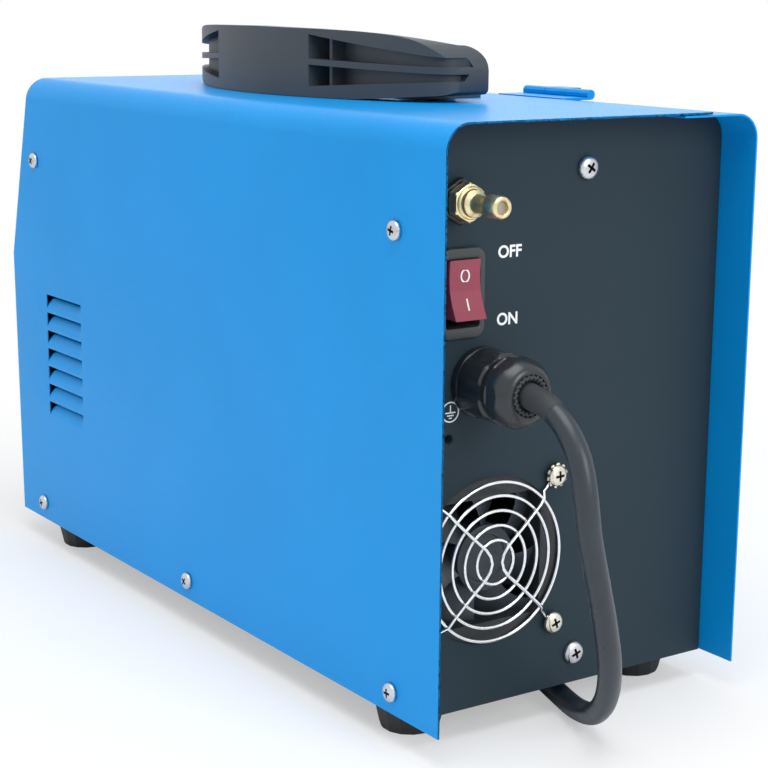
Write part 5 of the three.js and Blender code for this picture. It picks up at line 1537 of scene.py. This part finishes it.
class SCENE_OT_welder_cover(bpy.types.Operator):
    """Makes the folded right cover with its seven pressed louvres"""

    bl_idname = "welder.cover"
    bl_label = "Right Cover"

    def execute(self, context):
        form = bmesh.new()
        side = HALF_WIDTH / MM
        rear = COVER_LENGTH / 2
        bend_start = COVER_HEIGHT - COVER_BEND
        front_edge = [0.0, NOSE_HEIGHT * 0.5, NOSE_HEIGHT, (NOSE_HEIGHT + bend_start) / 2]
        corners = [(nose_line(z), z) for z in (*front_edge, bend_start)]
        corners += [(rear, bend_start), (rear, 0)]
        outer = [form.verts.new(spot(side, y, z)) for y, z in corners]
        loops = [outer]
        for louvre in range(LOUVRES):
            loops.append(self.make_louvre(form, side, LOUVRE_TOP - louvre * LOUVRE_PITCH))
        fill_face(form, loops)
        self.make_bend(form, outer[4], outer[5], side, bend_start, rear)
        weld(form)
        form.faces.ensure_lookup_table()
        top = max(form.faces, key=lambda face: face.calc_center_median().z)
        if top.normal.z < 0:
            bmesh.ops.reverse_faces(form, faces=form.faces)
        cover = as_piece("cover_sheet", form, ("blue_coat",), sharp=38.0)
        gauge = cover.modifiers.new("gauge", "SOLIDIFY")
        gauge.thickness = SHEET * MM
        gauge.offset = -1.0
        gauge.use_even_offset = True
        level = cover.modifiers.new("level", "WEIGHTED_NORMAL")
        level.mode = "FACE_AREA"
        level.weight = 50
        level.keep_sharp = True
        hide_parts("side_cover")
        return {"FINISHED"}

    def make_louvre(self, form, side, upper):
        """One louvre, pressed in at its upper edge; returns the loop that joins the sheet."""
        across = 28
        up = 8
        start = -COVER_LENGTH / 2 + LOUVRE_FRONT
        grid = []
        for row in range(up + 1):
            rise = row / up
            line = []
            for column in range(across + 1):
                along = LOUVRE_LENGTH * self.ease(column / across)
                near = min(1.0, (LOUVRE_LENGTH - along) / LOUVRE_END)
                round_end = math.sqrt(max(0.0, 1.0 - (1.0 - near) ** 2))
                tuck = 0.55 + 0.45 * min(1.0, along / LOUVRE_TUCK)
                press = LOUVRE_DEPTH * (0.45 * rise + 0.55 * rise * rise) * round_end * tuck
                scoop = LOUVRE_SCOOP * max(0.0, 1.0 - along / LOUVRE_END) ** 2
                z = upper - LOUVRE_RISE + (LOUVRE_RISE - LOUVRE_GAP - scoop) * rise
                line.append(form.verts.new(spot(side - press, start + along, z)))
            grid.append(line)
        skin(form, grid, closed=False)
        lip = []
        for column in range(across + 1):
            along = LOUVRE_LENGTH * self.ease(column / across)
            lip.append(form.verts.new(spot(side, start + along, upper)))
        rear_side = [line[-1] for line in grid[1:]]
        return [*grid[0], *rear_side, *reversed(lip)]

    def ease(self, share):
        """Spaces points closer together near both ends of a louvre."""
        return share - 0.11 * math.sin(math.tau * share)

    def make_bend(self, form, front, back, side, bend_start, rear):
        """The rounded fold and the top, as far as the seam."""
        steps = 14
        middle = side - COVER_BEND
        rows = [(front, back)]
        for step in range(1, steps + 1):
            angle = math.pi / 2 * step / steps
            x = middle + COVER_BEND * math.cos(angle)
            z = bend_start + COVER_BEND * math.sin(angle)
            rows.append([form.verts.new(spot(x, y, z)) for y in (nose_line(z), rear)])
        z = COVER_HEIGHT
        for x in (40.0, -15.0, SEAM):
            rows.append([form.verts.new(spot(x, y, z)) for y in (nose_line(z), rear)])
        skin(form, rows, closed=False)


class SCENE_OT_welder_rear(bpy.types.Operator):
    """Makes the rear panel with its folded edge and its cut-outs"""

    bl_idname = "welder.rear"
    bl_label = "Rear Panel"

    def execute(self, context):
        place = on_rear(0.0, 0.0)
        half = HALF_WIDTH / MM - SHEET - SEAT
        top = COVER_HEIGHT - 2 * (SHEET + SEAT)
        bend = COVER_BEND - SHEET - SEAT
        corners = [*self.corner(half, top, bend, 0.0), *self.corner(half, top, bend, 90.0)]
        edge = [(half, 0), *corners, (-half, 0.0)]
        fan_x, fan_z = FAN_SPOT
        reach = context.scene.welder_fan.hole_spacing / MM / 2
        clear = SCREW_SHANK + SEAT
        switch = round_box(23.0, 40.0, 1.0, 4)
        holes = [circle(-fan_x, fan_z, FAN_BORE + 0.6, 96)]
        for side in (-reach, reach):
            for rise in (-reach, reach):
                holes.append(circle(side - fan_x, fan_z + rise, clear, 20))
        holes.append([(x - SWITCH_SPOT[0], y + SWITCH_SPOT[1]) for x, y in switch])
        holes.append(circle(-GAS_SPOT[0], GAS_SPOT[1], 7.3))
        holes.append(circle(-GLAND_SPOT[0], GLAND_SPOT[1], 12.3))
        holes.append(circle(-EARTH_SPOT[0], EARTH_SPOT[1], 3.0, 32))
        holes += [circle(x, z, clear, 20) for x, z in PANEL_SCREWS]
        form = bmesh.new()
        inset = 0.5
        face = [(x * (1 - inset / half), y if y == 0.0 else y - inset) for x, y in edge]
        pierced(form, face, holes, -SHEET, 0.0, place)
        inner = [(x * (1 - SHEET / half), y if y == 0.0 else y - SHEET) for x, y in edge]
        rows = [(face, 0), (self.blend(face, edge, 0.7), -0.15), (edge, -inset), (edge, -30)]
        rows += [(inner, -30), (inner, -SHEET)]
        self.make_fold(form, rows, place)
        panel = finish_mesh("rear_sheet", form, ("black_coat",))
        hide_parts("rear_panel")
        self.make_insert(on_rear(*EARTH_SPOT))
        return {"FINISHED"}

    def corner(self, half, top, bend, start):
        """The points of one rounded upper corner."""
        side = 1.0 if start < 45.0 else -1.0
        points = []
        for step in range(13):
            angle = math.radians(start + 90.0 * step / 12)
            x = side * (half - bend) + bend * math.cos(angle)
            points.append((x, top - bend + bend * math.sin(angle)))
        return points

    def blend(self, first, second, share):
        """An outline between two others."""
        return [tuple(a + (b - a) * share for a, b in zip(*pair)) for pair in zip(first, second)]

    def make_fold(self, form, rows, place):
        """The folded edge along the sides and the top, open at the bottom."""
        lines = [loop_at(form, outline, height, place) for outline, height in rows]
        skin(form, lines + lines[:1], closed=False)
        for end in (0, -1):
            form.faces.new([line[end] for line in lines])

    def make_insert(self, place):
        """The riveted thread in the earth hole."""
        profile = [(2.95, -0.3), (2.95, -6), *reversed(thread(-6.0, -0.8, 2.5, 2.1, 0.8))]
        profile += [(2.4, -0.4), (2.95, -0.3)]
        insert = turned("earth_thread", profile, place, 32, "black_coat")


# ---------------- handle

HANDLE_ARC = 250.0
HANDLE_REACH = 57.0
HANDLE_HALF = 138.0
HANDLE_HEIGHT = 40.0
HANDLE_CORNER = 26.0
HANDLE_PIVOT = (-4, 20)
HANDLE_EYE = 11.5
HANDLE_EAR = 12.0
ARM_INNER = 102.0
PALM_HALF = 53.0
PALM_INNER = 24.0
RIB = (64, 66)
RIB_SETBACK = 5.0
HANDLE_ROUND = 0.0011
POCKET_DEPTH = (17, 4.5)
POCKET_END = -5.0
# Each row's lower and upper edge: its height at the palm and at the handle's end.
POCKET_ROWS = (((6.5, 12), (18.9, 15.5)), ((22.3, 19.5), (36.2, 24)))


class SCENE_OT_welder_handle(bpy.types.Operator):
    """Makes the moulded carrying handle with its rows of pockets"""

    bl_idname = "welder.handle"
    bl_label = "Handle"

    def execute(self, context):
        upright = Matrix.Identity(4)
        body = self.solid("handle_bar", self.plan(), (-1.0, HANDLE_HEIGHT + 1.0), upright)
        sides = self.solid("handle_sides", self.side_view(), (-80, 80), ALONG_X)
        ends = self.solid("handle_ends", self.end_view(), (-200, 200), ALONG_Y)
        cuts = self.make_cuts()
        combine(body, sides, "INTERSECT")
        combine(body, ends, "INTERSECT")
        combine(body, cuts, "DIFFERENCE")
        mesh = applied(body, sides, ends, cuts)
        form = bmesh.new()
        form.from_mesh(mesh)
        bmesh.ops.remove_doubles(form, verts=form.verts, dist=20 * JOIN)
        flat = math.radians(0.4)
        bmesh.ops.dissolve_limit(form, angle_limit=flat, verts=form.verts, edges=form.edges)
        bpy.data.meshes.remove(mesh)
        handle = finish_mesh("handle_moulding", form, ("handle",), "carry_handle")
        soften(handle, HANDLE_ROUND, 3, 33.0)
        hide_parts("carry_handle")
        return {"FINISHED"}

    def solid(self, name, outline, span, turn):
        """A prism over an outline: from above, from the side or from the end."""
        form = bmesh.new()
        extrude(form, outline, *span, Matrix.Translation(spot(0.0, 0.0, COVER_HEIGHT)) @ turn)
        return finish_mesh(name, form, ("handle",), "carry_handle")

    def arc(self, centre, radius, start, end, steps):
        """Points along an arc given in radians."""
        angles = [start + (end - start) * step / steps for step in range(steps + 1)]
        x, y = centre
        return [(x + radius * math.cos(angle), y + radius * math.sin(angle)) for angle in angles]

    def corners(self):
        """Where the palm's long curve meets the rounded corners."""
        corner_y = HANDLE_HALF - HANDLE_CORNER
        reach = math.sqrt((HANDLE_ARC - HANDLE_CORNER) ** 2 - corner_y**2)
        return HANDLE_REACH - HANDLE_ARC + reach, corner_y, math.atan2(corner_y, reach)

    def plan(self):
        """The outline from above: palm, corners and arms back to the pivot."""
        corner_x, corner_y, swing = self.corners()
        back = HANDLE_PIVOT[0] - HANDLE_EYE
        bend = HANDLE_PIVOT[0] + HANDLE_EAR + 4.0
        points = [(back, -HANDLE_HALF)]
        points += self.arc((corner_x, -corner_y), HANDLE_CORNER, -math.pi / 2, -swing, 16)
        centre = (HANDLE_REACH - HANDLE_ARC, 0.0)
        points += self.arc(centre, HANDLE_ARC, -swing, swing, 60)[1:-1]
        points += self.arc((corner_x, corner_y), HANDLE_CORNER, swing, math.pi / 2, 16)
        points += [(back, HANDLE_HALF), (back, ARM_INNER), (bend, ARM_INNER)]
        inner = []
        for step in range(1, 17):
            share = step / 16
            ends = ((1 - share) ** 2, 2 * share * (1 - share), share**2)
            x = ends[0] * bend + ends[1] * (PALM_INNER - 2.0) + ends[2] * PALM_INNER
            y = (ends[0] + ends[1]) * ARM_INNER + ends[2] * PALM_HALF
            inner.append((x, y))
        points += inner
        points += [(x, -y) for x, y in reversed(inner)]
        points += [(bend, -ARM_INNER), (back, -ARM_INNER)]
        return points

    def side_view(self):
        """The outline from the side: level over the palm, falling and rounded at the ends."""
        half = [(0, HANDLE_HEIGHT), (60, 39.4), (76, 39), (88, 38.6), (100, 37.8)]
        half += [(108, 37), (114, 36.2), (119, 35.1), (123.5, 33.7), (127.5, 31.9)]
        half += [(131, 29.6), (133.8, 26.9), (136, 23.8), (137.4, 20.4), (138.2, 16.8)]
        half += [(138.4, 13), (138.4, 8.6), (137.6, 6), (135.6, 4.4), (132.5, 3.8)]
        half += [(110, 2), (88, 0.45), (76, SEAT)]
        mirrored = [(-y, z) for y, z in reversed(half) if y > 0.0]
        return [*half, *mirrored]

    def end_view(self):
        """The outline from the end: the arms' ends, round about the pivot."""
        x, z = HANDLE_PIVOT
        sweep = HANDLE_PIVOT[1] - 0.6
        back = HANDLE_EYE
        low = math.sqrt(sweep * sweep - back * back)
        points = [(80, -5), (80.0, HANDLE_HEIGHT + 1.0), (52.0, HANDLE_HEIGHT + 1.0)]
        points += [(44, 39.2), (30, 37.2)]
        points += self.arc((x, z), HANDLE_EYE, math.pi / 2 - 0.16, math.pi, 14)
        first = math.atan2(-low, -back)
        points += self.arc((x, z), sweep, first, -math.pi / 2, 8)
        points.append((x, -5))
        return points

    def pocket_plan(self, end):
        """A pocket's outline from above, as far as its end, with the upright rib set back."""
        corner_x, corner_y, swing = self.corners()

        def wall(y, depth=None):
            share = min(1.0, (y - PALM_HALF) / (corner_y - PALM_HALF))
            own = POCKET_DEPTH[0] + (POCKET_DEPTH[1] - POCKET_DEPTH[0]) * share
            face = HANDLE_REACH - HANDLE_ARC + math.sqrt(HANDLE_ARC**2 - y * y)
            return face - (own if depth is None else depth), y

        last = HANDLE_ARC * math.sin(swing)
        outside = HANDLE_REACH + 2.0
        points = [(outside, PALM_HALF), wall(PALM_HALF), wall(RIB[0])]
        points += [wall(RIB[0], RIB_SETBACK), wall(RIB[1], RIB_SETBACK), wall(RIB[1])]
        steps = 18
        points += [wall(RIB[1] + (corner_y - RIB[1]) * step / steps) for step in range(1, steps)]
        radius = HANDLE_CORNER - POCKET_DEPTH[1]
        points += self.arc((corner_x, corner_y), radius, swing, math.pi / 2, 12)
        points += [(end, HANDLE_HALF - POCKET_DEPTH[1] / 2)]
        points += [(end, last + 40.0), (outside, last + 40.0)]
        return points

    def make_cuts(self):
        """The pockets at both ends of the palm, and the pivot holes in the arms."""
        form = bmesh.new()
        base = Matrix.Translation(spot(0.0, 0.0, COVER_HEIGHT))
        for side in (-1, 1):
            for row in POCKET_ROWS:
                rings = []
                for near, far in row:
                    slope = (far - near) / (HANDLE_HALF + 3.0 - PALM_HALF)
                    ring = []
                    end = POCKET_END + 0.9 * max(0.0, abs(far - HANDLE_HEIGHT / 2) - 1.0)
                    for x, y in self.pocket_plan(end):
                        height = near + slope * (y - PALM_HALF)
                        ring.append(form.verts.new(base @ (Vector((x, side * y, height)) * MM)))
                    rings.append(ring)
                skin(form, rings)
                form.faces.new(rings[0])
                form.faces.new(rings[1])
            pivot = spot(HANDLE_PIVOT[0], side * (ARM_INNER + 8.0), COVER_HEIGHT + HANDLE_PIVOT[1])
            bore = [(0, -16), (5.3, -16), (5.3, 8), (0, 8)]
            revolve(form, bore, facing(pivot, (0.0, side, 0.0)), 32)
        return finish_mesh("handle_cuts", form, ("handle",), "carry_handle")


# ---------------- front panel

PANEL_INSET = 25.7
LOWER_FACET = 80.0
UPPER_FACET = 246.0
DIAL_SWEEP = 270.0
DIAL_STEPS = 10
SCALE_RADIUS = 23.6
# The torch inlet's screws against those of the covers.
TORCH_SCREW = 0.62


def on_front(upper, x, y, proud=0.0):
    """A place on a facet of the front panel: local X is right as seen from the front."""
    if upper:
        lean = math.atan2(NOSE_TOP, COVER_HEIGHT - NOSE_HEIGHT)
        height = UPPER_FACET
    else:
        lean = -math.atan2(NOSE_BOTTOM, NOSE_HEIGHT)
        height = LOWER_FACET
    outward = Vector((0.0, -math.cos(lean), math.sin(lean)))
    climb = Vector((0.0, math.sin(lean), math.cos(lean)))
    origin = spot(x, nose_line(height) + PANEL_INSET, height)
    return facing(origin + (climb * y + outward * proud) * MM, outward)


def bar(length, width):
    """The outline of a straight mark along local X, from its middle."""
    x = length / 2
    y = width / 2
    return [(-x, -y), (x, -y), (x, y), (-x, y)]


def shifted(place, x, y, turn=0.0):
    """A place moved over its own plane in millimetres, and turned in degrees."""
    along = Matrix.Translation((x * MM, y * MM, 0.0))
    return place @ along @ Matrix.Rotation(math.radians(turn), 4, "Z")


class SCENE_OT_welder_front(bpy.types.Operator):
    """Makes the sockets, dials, button and display on the front panel"""

    bl_idname = "welder.front"
    bl_label = "Front Fittings"

    def execute(self, context):
        self.make_torch_inlet(on_front(False, -42.0, 15.0))
        for name, x in (("positive_socket", 22.0), ("negative_socket", 72.0)):
            self.make_socket(name, on_front(False, x, -22.0))
            self.make_sign(name, on_front(False, x, 5.0), name == "positive_socket")
        for name, x in (("voltage_knob", -58.0), ("wire_speed_knob", 58.0)):
            place = on_front(True, x, -12.0)
            self.make_knob(name, place)
            self.make_scale(name, place)
        self.make_button(on_front(True, 0.0, -16.0))
        self.make_display(on_front(True, 0.0, 24.0))
        return {"FINISHED"}

    def make_torch_inlet(self, place):
        """The square flange, the threaded brass inlet, and two near-black discs of painted shade
        for its contact holes.
        """
        form = bmesh.new()
        plate = round_box(58.0, 58.0, 8.0)
        rings = ((plate, SEAT), (plate, 4.9), (round_box(56.6, 56.6, 7.3), 5.9))
        loft(form, rings, place, 0, capped=True)
        core = [(5, -20), (16, -20), (16, 5), (21.6, 5), (22, 5.8)]
        core += thread(6.4, 15.4, 22.0, 21.1, 1.5)
        core += [(20.5, 15.9), (20.5, 22.3), (19.8, 23), (17.6, 23), (17.2, 22.6)]
        core += [(17.2, 19), (14.2, 19), (14.2, 22), (13.7, 22.5), (5.9, 22.5)]
        core += [(5, 21.6), (5, -20)]
        revolve(form, core, place, ROUND, 1)
        # Two thin near-black discs at the inlet's face stand for the contact holes: painted shade.
        for y in (-5, 5):
            contact = [(0, 22.4), (2.2, 22.4), (2.2, 22.9), (1.4, 22.9), (1.2, 22.55)]
            revolve(form, [*contact, (0, 22.55)], shifted(place, 10.0, y), 24, 2)
        inlet = finish_mesh("torch_inlet", form, ("black_plastic", "brass", "dark"))
        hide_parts("torch_socket")
        head = pan_head("zinc")
        small = Matrix.Translation((0.0, 0.0, 5.9 * MM)) @ Matrix.Scale(TORCH_SCREW, 4)
        for count, (x, y) in enumerate(((-1, -1), (1, -1), (1, 1), (-1, 1))):
            mesh = head.copy()
            seated = shifted(place, 23.0 * x, 23.0 * y, 20.0 + 31.0 * count)
            mesh.transform(seated @ small)
            screw = place_object(f"torch_screw_{count + 1}", mesh)
        bpy.data.meshes.remove(head)

    def make_socket(self, name, place):
        """A twist-lock welding socket with a ribbed collar and a brass bush."""
        form = bmesh.new()
        body = [(6.6, -14), (12, -14), (12, SEAT), (17.6, SEAT), (18, 0.6), (18, 8.2)]
        body += [(17.5, 8.9), (16.4, 9.6), (16, 10.4), (16, 18.7), (15.6, 19.7), (14.6, 20.4)]
        body += [(13.6, 20.5), (9, 20.5), (8.2, 20.1), (7.9, 19.3), (7.9, 12), (6.6, 12)]
        body.append((6.6, -14))

        def ribs(radius, height, angle):
            if radius < 17.0 or height < 0.5:
                return radius
            return radius - 0.9 * max(0.0, math.cos(18 * angle))

        revolve(form, spread(body, 2.5), place, 216, 0, ribs)
        bush = [(4.9, -13), (6.5, -13), (6.5, 11.9), (5.6, 12.3), (4.9, 11.9), (4.9, -13)]
        revolve(form, bush, place, ROUND_MIDDLE, 1)
        # A near-black disc near the bush's floor: painted shade at the bottom of the bore.
        revolve(form, [(0, -12), (4.8, -12), (4.8, -11), (0, -11)], place, 32, 2)
        finishes = ("black_plastic", "brass", "dark")
        socket = finish_mesh(f"{name}_insulated", form, finishes)
        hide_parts(name)

    def make_sign(self, name, place, plus):
        """The polarity mark above a welding socket."""
        form = bmesh.new()
        extrude(form, bar(8.0, 1.6), *PRINT, place)
        if plus:
            for side in (-1, 1):
                upright = shifted(place, 0.0, side * 2.4, 90.0)
                extrude(form, bar(3.2, 1.6), *PRINT, upright)
        sign = finish_mesh(f"{name}_sign", form, ("white_ink",))

    def make_knob(self, name, place):
        """A fluted knob with a skirt and a white pointer, turned to nought."""
        form = bmesh.new()
        profile = [(0, -9), (3, -9), (3, 0.3), (14.6, 0.3), (15, 0.7), (15, 3.1)]
        profile += [(14.6, 3.6), (12.7, 4.2), (12.2, 4.9), (11.5, 13.6), (11.1, 14.4)]
        profile += [(10.4, 14.9), (9.4, 15), (8.9, 14.5), (0, 14.5)]

        def flutes(radius, height, angle):
            if height < 4.5 or radius < 9.6:
                return radius
            return radius - 1.1 * max(0.0, math.cos(12 * angle)) ** 2

        revolve(form, spread(profile, 2.5), place, 192, 0, flutes)
        nought = shifted(place, 0.0, 0.0, 90.0 + DIAL_SWEEP / 2)
        extrude(form, bar(6.4, 1.2), 14.4, 14.8, shifted(nought, 5.4, 0.0), 1)
        extrude(form, bar(1.5, 1.0), 3.2, 4.1, shifted(nought, 13.9, 0.0), 1)
        knob = finish_mesh(f"{name}_fluted", form, ("black_plastic", "white_ink"), name)
        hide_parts(name)

    def make_scale(self, name, place):
        """The printed scale from 0 to 10 round a knob."""
        form = bmesh.new()
        for step in range(DIAL_STEPS + 1):
            angle = 90.0 + DIAL_SWEEP / 2 - DIAL_SWEEP * step / DIAL_STEPS
            ray = shifted(place, 0.0, 0.0, angle)
            whole = step % 2 == 0
            length = 3.2 if whole else 2.0
            extrude(form, bar(length, 0.6), *PRINT, shifted(ray, 17.0 + length / 2, 0.0))
            if whole:
                x = SCALE_RADIUS * math.cos(math.radians(angle))
                y = SCALE_RADIUS * math.sin(math.radians(angle))
                numeral = lettering(str(step), shifted(place, x, y), 4.6, "CENTER", 0.02)
                form.from_mesh(numeral)
                bpy.data.meshes.remove(numeral)
        scale = finish_mesh(f"{name}_scale", form, ("white_ink",))

    def make_button(self, place):
        """The domed push button and the ring about it."""
        dome = [(0, -6), (6, -6), (6, 2.1), (5.7, 2.9), (5, 3.5), (3.6, 3.9)]
        dome += [(1.8, 4), (0, 4)]
        finish = "red_plastic"
        button = turned("mode_button_dome", dome, place, ROUND_MIDDLE, finish, "mode_button")
        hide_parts("mode_button")
        ring = [(6.5, 0.05), (8.6, 0.05), (8.5, 0.6), (8, 1.1), (7.2, 1.2), (6.6, 0.9)]
        ring.append((6.5, 0.05))
        finish = "black_plastic"
        guard = turned("mode_button_ring", ring, place, ROUND_MIDDLE, finish)

    def make_display(self, place):
        """The display's raised frame, its dark window and two groups of unlit figures."""
        form = bmesh.new()
        window = round_box(70.0, 22.0, 1.5)
        band(form, round_box(78.0, 30.0, 3.0), window, SEAT, 2.4, place)
        extrude(form, window, SEAT, 1.5, place, 1)
        for x in (-27.0, -17.5, -8.0, 8.0, 17.5, 27.0):
            self.make_figure(form, shifted(place, x, 0.0))
        finishes = ("black_plastic", "display", "unlit")
        window = finish_mesh("display_figures", form, finishes)
        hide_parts("display_window")

    def make_figure(self, form, place):
        """One seven-bar figure, all bars off."""
        level = (1.52, 1.56)
        for y in (-5.4, 0.0, 5.4):
            extrude(form, bar(4.4, 1.0), *level, shifted(place, 0.0, y), 2)
        for x in (-3, 3):
            for y in (-2.7, 2.7):
                extrude(form, bar(4.2, 1.0), *level, shifted(place, x, y, 90.0), 2)


# ---------------- tension screw

TENSION_BACK = math.radians(50.0)
TENSION_GRIP = 47.7


class SCENE_OT_welder_tension(bpy.types.Operator):
    """Makes the feeder's tension screw: an eye on its pin, a threaded stem and a ribbed grip"""

    bl_idname = "welder.tension"
    bl_label = "Tension Screw"

    def execute(self, context):
        joint = next(joint for joint in frame["joints"] if joint["name"] == "tension_swing")
        pivot = Vector(joint["pos_m"])
        form = bmesh.new()
        across = facing(pivot, (1.0, 0.0, 0.0))
        eye = [(3.1, -4.5), (6.9, -4.5), (7.5, -3.9), (7.5, 3.9), (6.9, 4.5), (3.1, 4.5)]
        revolve(form, [*eye, eye[0]], across, ROUND_SMALL, 1)
        pin = [(0, -9), (2.6, -9), (3, -8.6), (3, 8.6), (2.6, 9), (0, 9)]
        revolve(form, pin, across, 32, 1)
        along = facing(pivot, (0.0, math.sin(TENSION_BACK), math.cos(TENSION_BACK)))
        stem = [(0, 6.5), (2.6, 6.5), *thread(12.0, TENSION_GRIP - 1.0, 2.6, 2.15, 1.0)]
        stem += [(2.6, TENSION_GRIP), (2.6, TENSION_GRIP + 2.0), (0.0, TENSION_GRIP + 2.0)]
        revolve(form, stem, along, 32, 1)
        grip = [(0, 0), (6.6, 0), (7.4, 0.8), (8.9, 3.8), (9, 5), (9, 21)]
        grip += [(8.6, 22.8), (7.6, 24.2), (6.2, 24.9), (0, 25)]

        def ribs(radius, height, angle):
            if radius < 7.0:
                return radius
            return radius - 0.8 * max(0.0, math.cos(14 * angle))

        head = along @ Matrix.Translation((0.0, 0.0, TENSION_GRIP * MM))
        revolve(form, spread(grip, 2.0), head, 168, 0, ribs)
        screw = finish_mesh("tension_grip", form, ("black_plastic", "zinc"), "tension_screw")
        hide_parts("tension_screw")
        return {"FINISHED"}


# ---------------- finishes of the solid parts

NODE_FINISHES = {
    "blue_coat": ("side_cover", "left_frame", "door", "door_hinge_front", "door_hinge_rear"),
    "black_coat": ("base_pan", "rear_panel", "front_panel"),
    "zinc": (*SIDE_SCREWS, *REAR_SCREWS, "drive_roll", "pressure_roll", "spool_axle"),
    "galvanised": ("divider_panel",),
    "steel": ("feed_motor",),
    "nickel": FAN_SCREWS,
    "wire": ("fan_guard",),
    "brass": ("gas_fitting", "torch_socket"),
    "aluminium": ("feeder_block", "pressure_arm", "heat_sink"),
    "black_plastic": (
        "fan_frame", "fan_rotor", "gas_nut", "gland_body", "gland_nut",
        "positive_socket", "negative_socket", "voltage_knob", "wire_speed_knob",
        "tension_screw", "spool_hub", "spool_nut", "door_latch", "power_plug",
    ),
    "switch_plastic": ("switch_body",),
    "handle": ("carry_handle", "handle_bracket_front", "handle_bracket_rear"),
    "red_plastic": ("rocker", "mode_button"),
    "seal_rubber": ("gland_seal",),
    "foot_rubber": (
        "foot_front_left", "foot_front_right", "foot_rear_left", "foot_rear_right",
    ),
    "sheath": ("power_cord", "power_cord_coil"),
    "board": ("main_board",),
    "copper": ("transformer",),
    "display": ("display_window",),
}

SHEET_PARTS = ("side_cover", "left_frame", "door", "front_panel", "rear_panel", "base_pan")
SOFT_EDGES = {
    0.0005: ("carry_handle", "handle_bracket_front", "handle_bracket_rear", "switch_body"),
    0.0006: ("voltage_knob", "wire_speed_knob", "door_latch", "spool_nut", "tension_screw"),
}


class SCENE_OT_welder_finishes(bpy.types.Operator):
    """Gives each solid part of the machine its finish and softens its edges"""

    bl_idname = "welder.finishes"
    bl_label = "Finishes"

    def execute(self, context):
        cover = context.scene.welder_cover
        make_finishes(cover, context.scene.welder_lead)
        for finish, names in NODE_FINISHES.items():
            for name in names:
                node = frame["nodes"][name]
                node.data.materials.clear()
                node.data.materials.append(FINISHES[finish])
        for name in SHEET_PARTS:
            soften(frame["nodes"][name], cover.edge)
        for width, names in SOFT_EDGES.items():
            for name in names:
                soften(frame["nodes"][name], width)
        return {"FINISHED"}


# ---------------- panel and registration

SETTINGS = (
    ("welder_cover", CoverSettings),
    ("welder_lead", LeadSettings),
    ("welder_fan", FanSettings),
    ("welder_stage", StageSettings),
)
STEPS = (
    SCENE_OT_welder_stage,
    SCENE_OT_welder_finishes,
    SCENE_OT_welder_lead,
    SCENE_OT_welder_fan,
    SCENE_OT_welder_screws,
    SCENE_OT_welder_switch,
    SCENE_OT_welder_gas,
    SCENE_OT_welder_gland,
    SCENE_OT_welder_print,
    SCENE_OT_welder_cover,
    SCENE_OT_welder_rear,
    SCENE_OT_welder_handle,
    SCENE_OT_welder_front,
    SCENE_OT_welder_tension,
)


class VIEW3D_PT_welder(bpy.types.Panel):
    """Lists the machine's steps in the order in which they are made"""

    bl_label = "Wire-Feed Welder"
    bl_space_type = "VIEW_3D"
    bl_region_type = "UI"
    bl_category = "Welder"

    def draw(self, context):
        for step in STEPS:
            self.layout.operator(step.bl_idname)


def register():
    """Registers the settings, the steps and the panel."""
    for name, group in SETTINGS:
        bpy.utils.register_class(group)
        setattr(bpy.types.Scene, name, bpy.props.PointerProperty(type=group))
    for step in STEPS:
        bpy.utils.register_class(step)
    bpy.utils.register_class(VIEW3D_PT_welder)


def unregister():
    """Takes the panel, the steps and the settings away again."""
    bpy.utils.unregister_class(VIEW3D_PT_welder)
    for step in reversed(STEPS):
        bpy.utils.unregister_class(step)
    for name, group in reversed(SETTINGS):
        delattr(bpy.types.Scene, name)
        bpy.utils.unregister_class(group)


def main():
    """Makes the whole scene."""
    register()
    for step in STEPS:
        category, name = step.bl_idname.split(".")
        getattr(getattr(bpy.ops, category), name)()


if __name__ == "__main__":
    main()
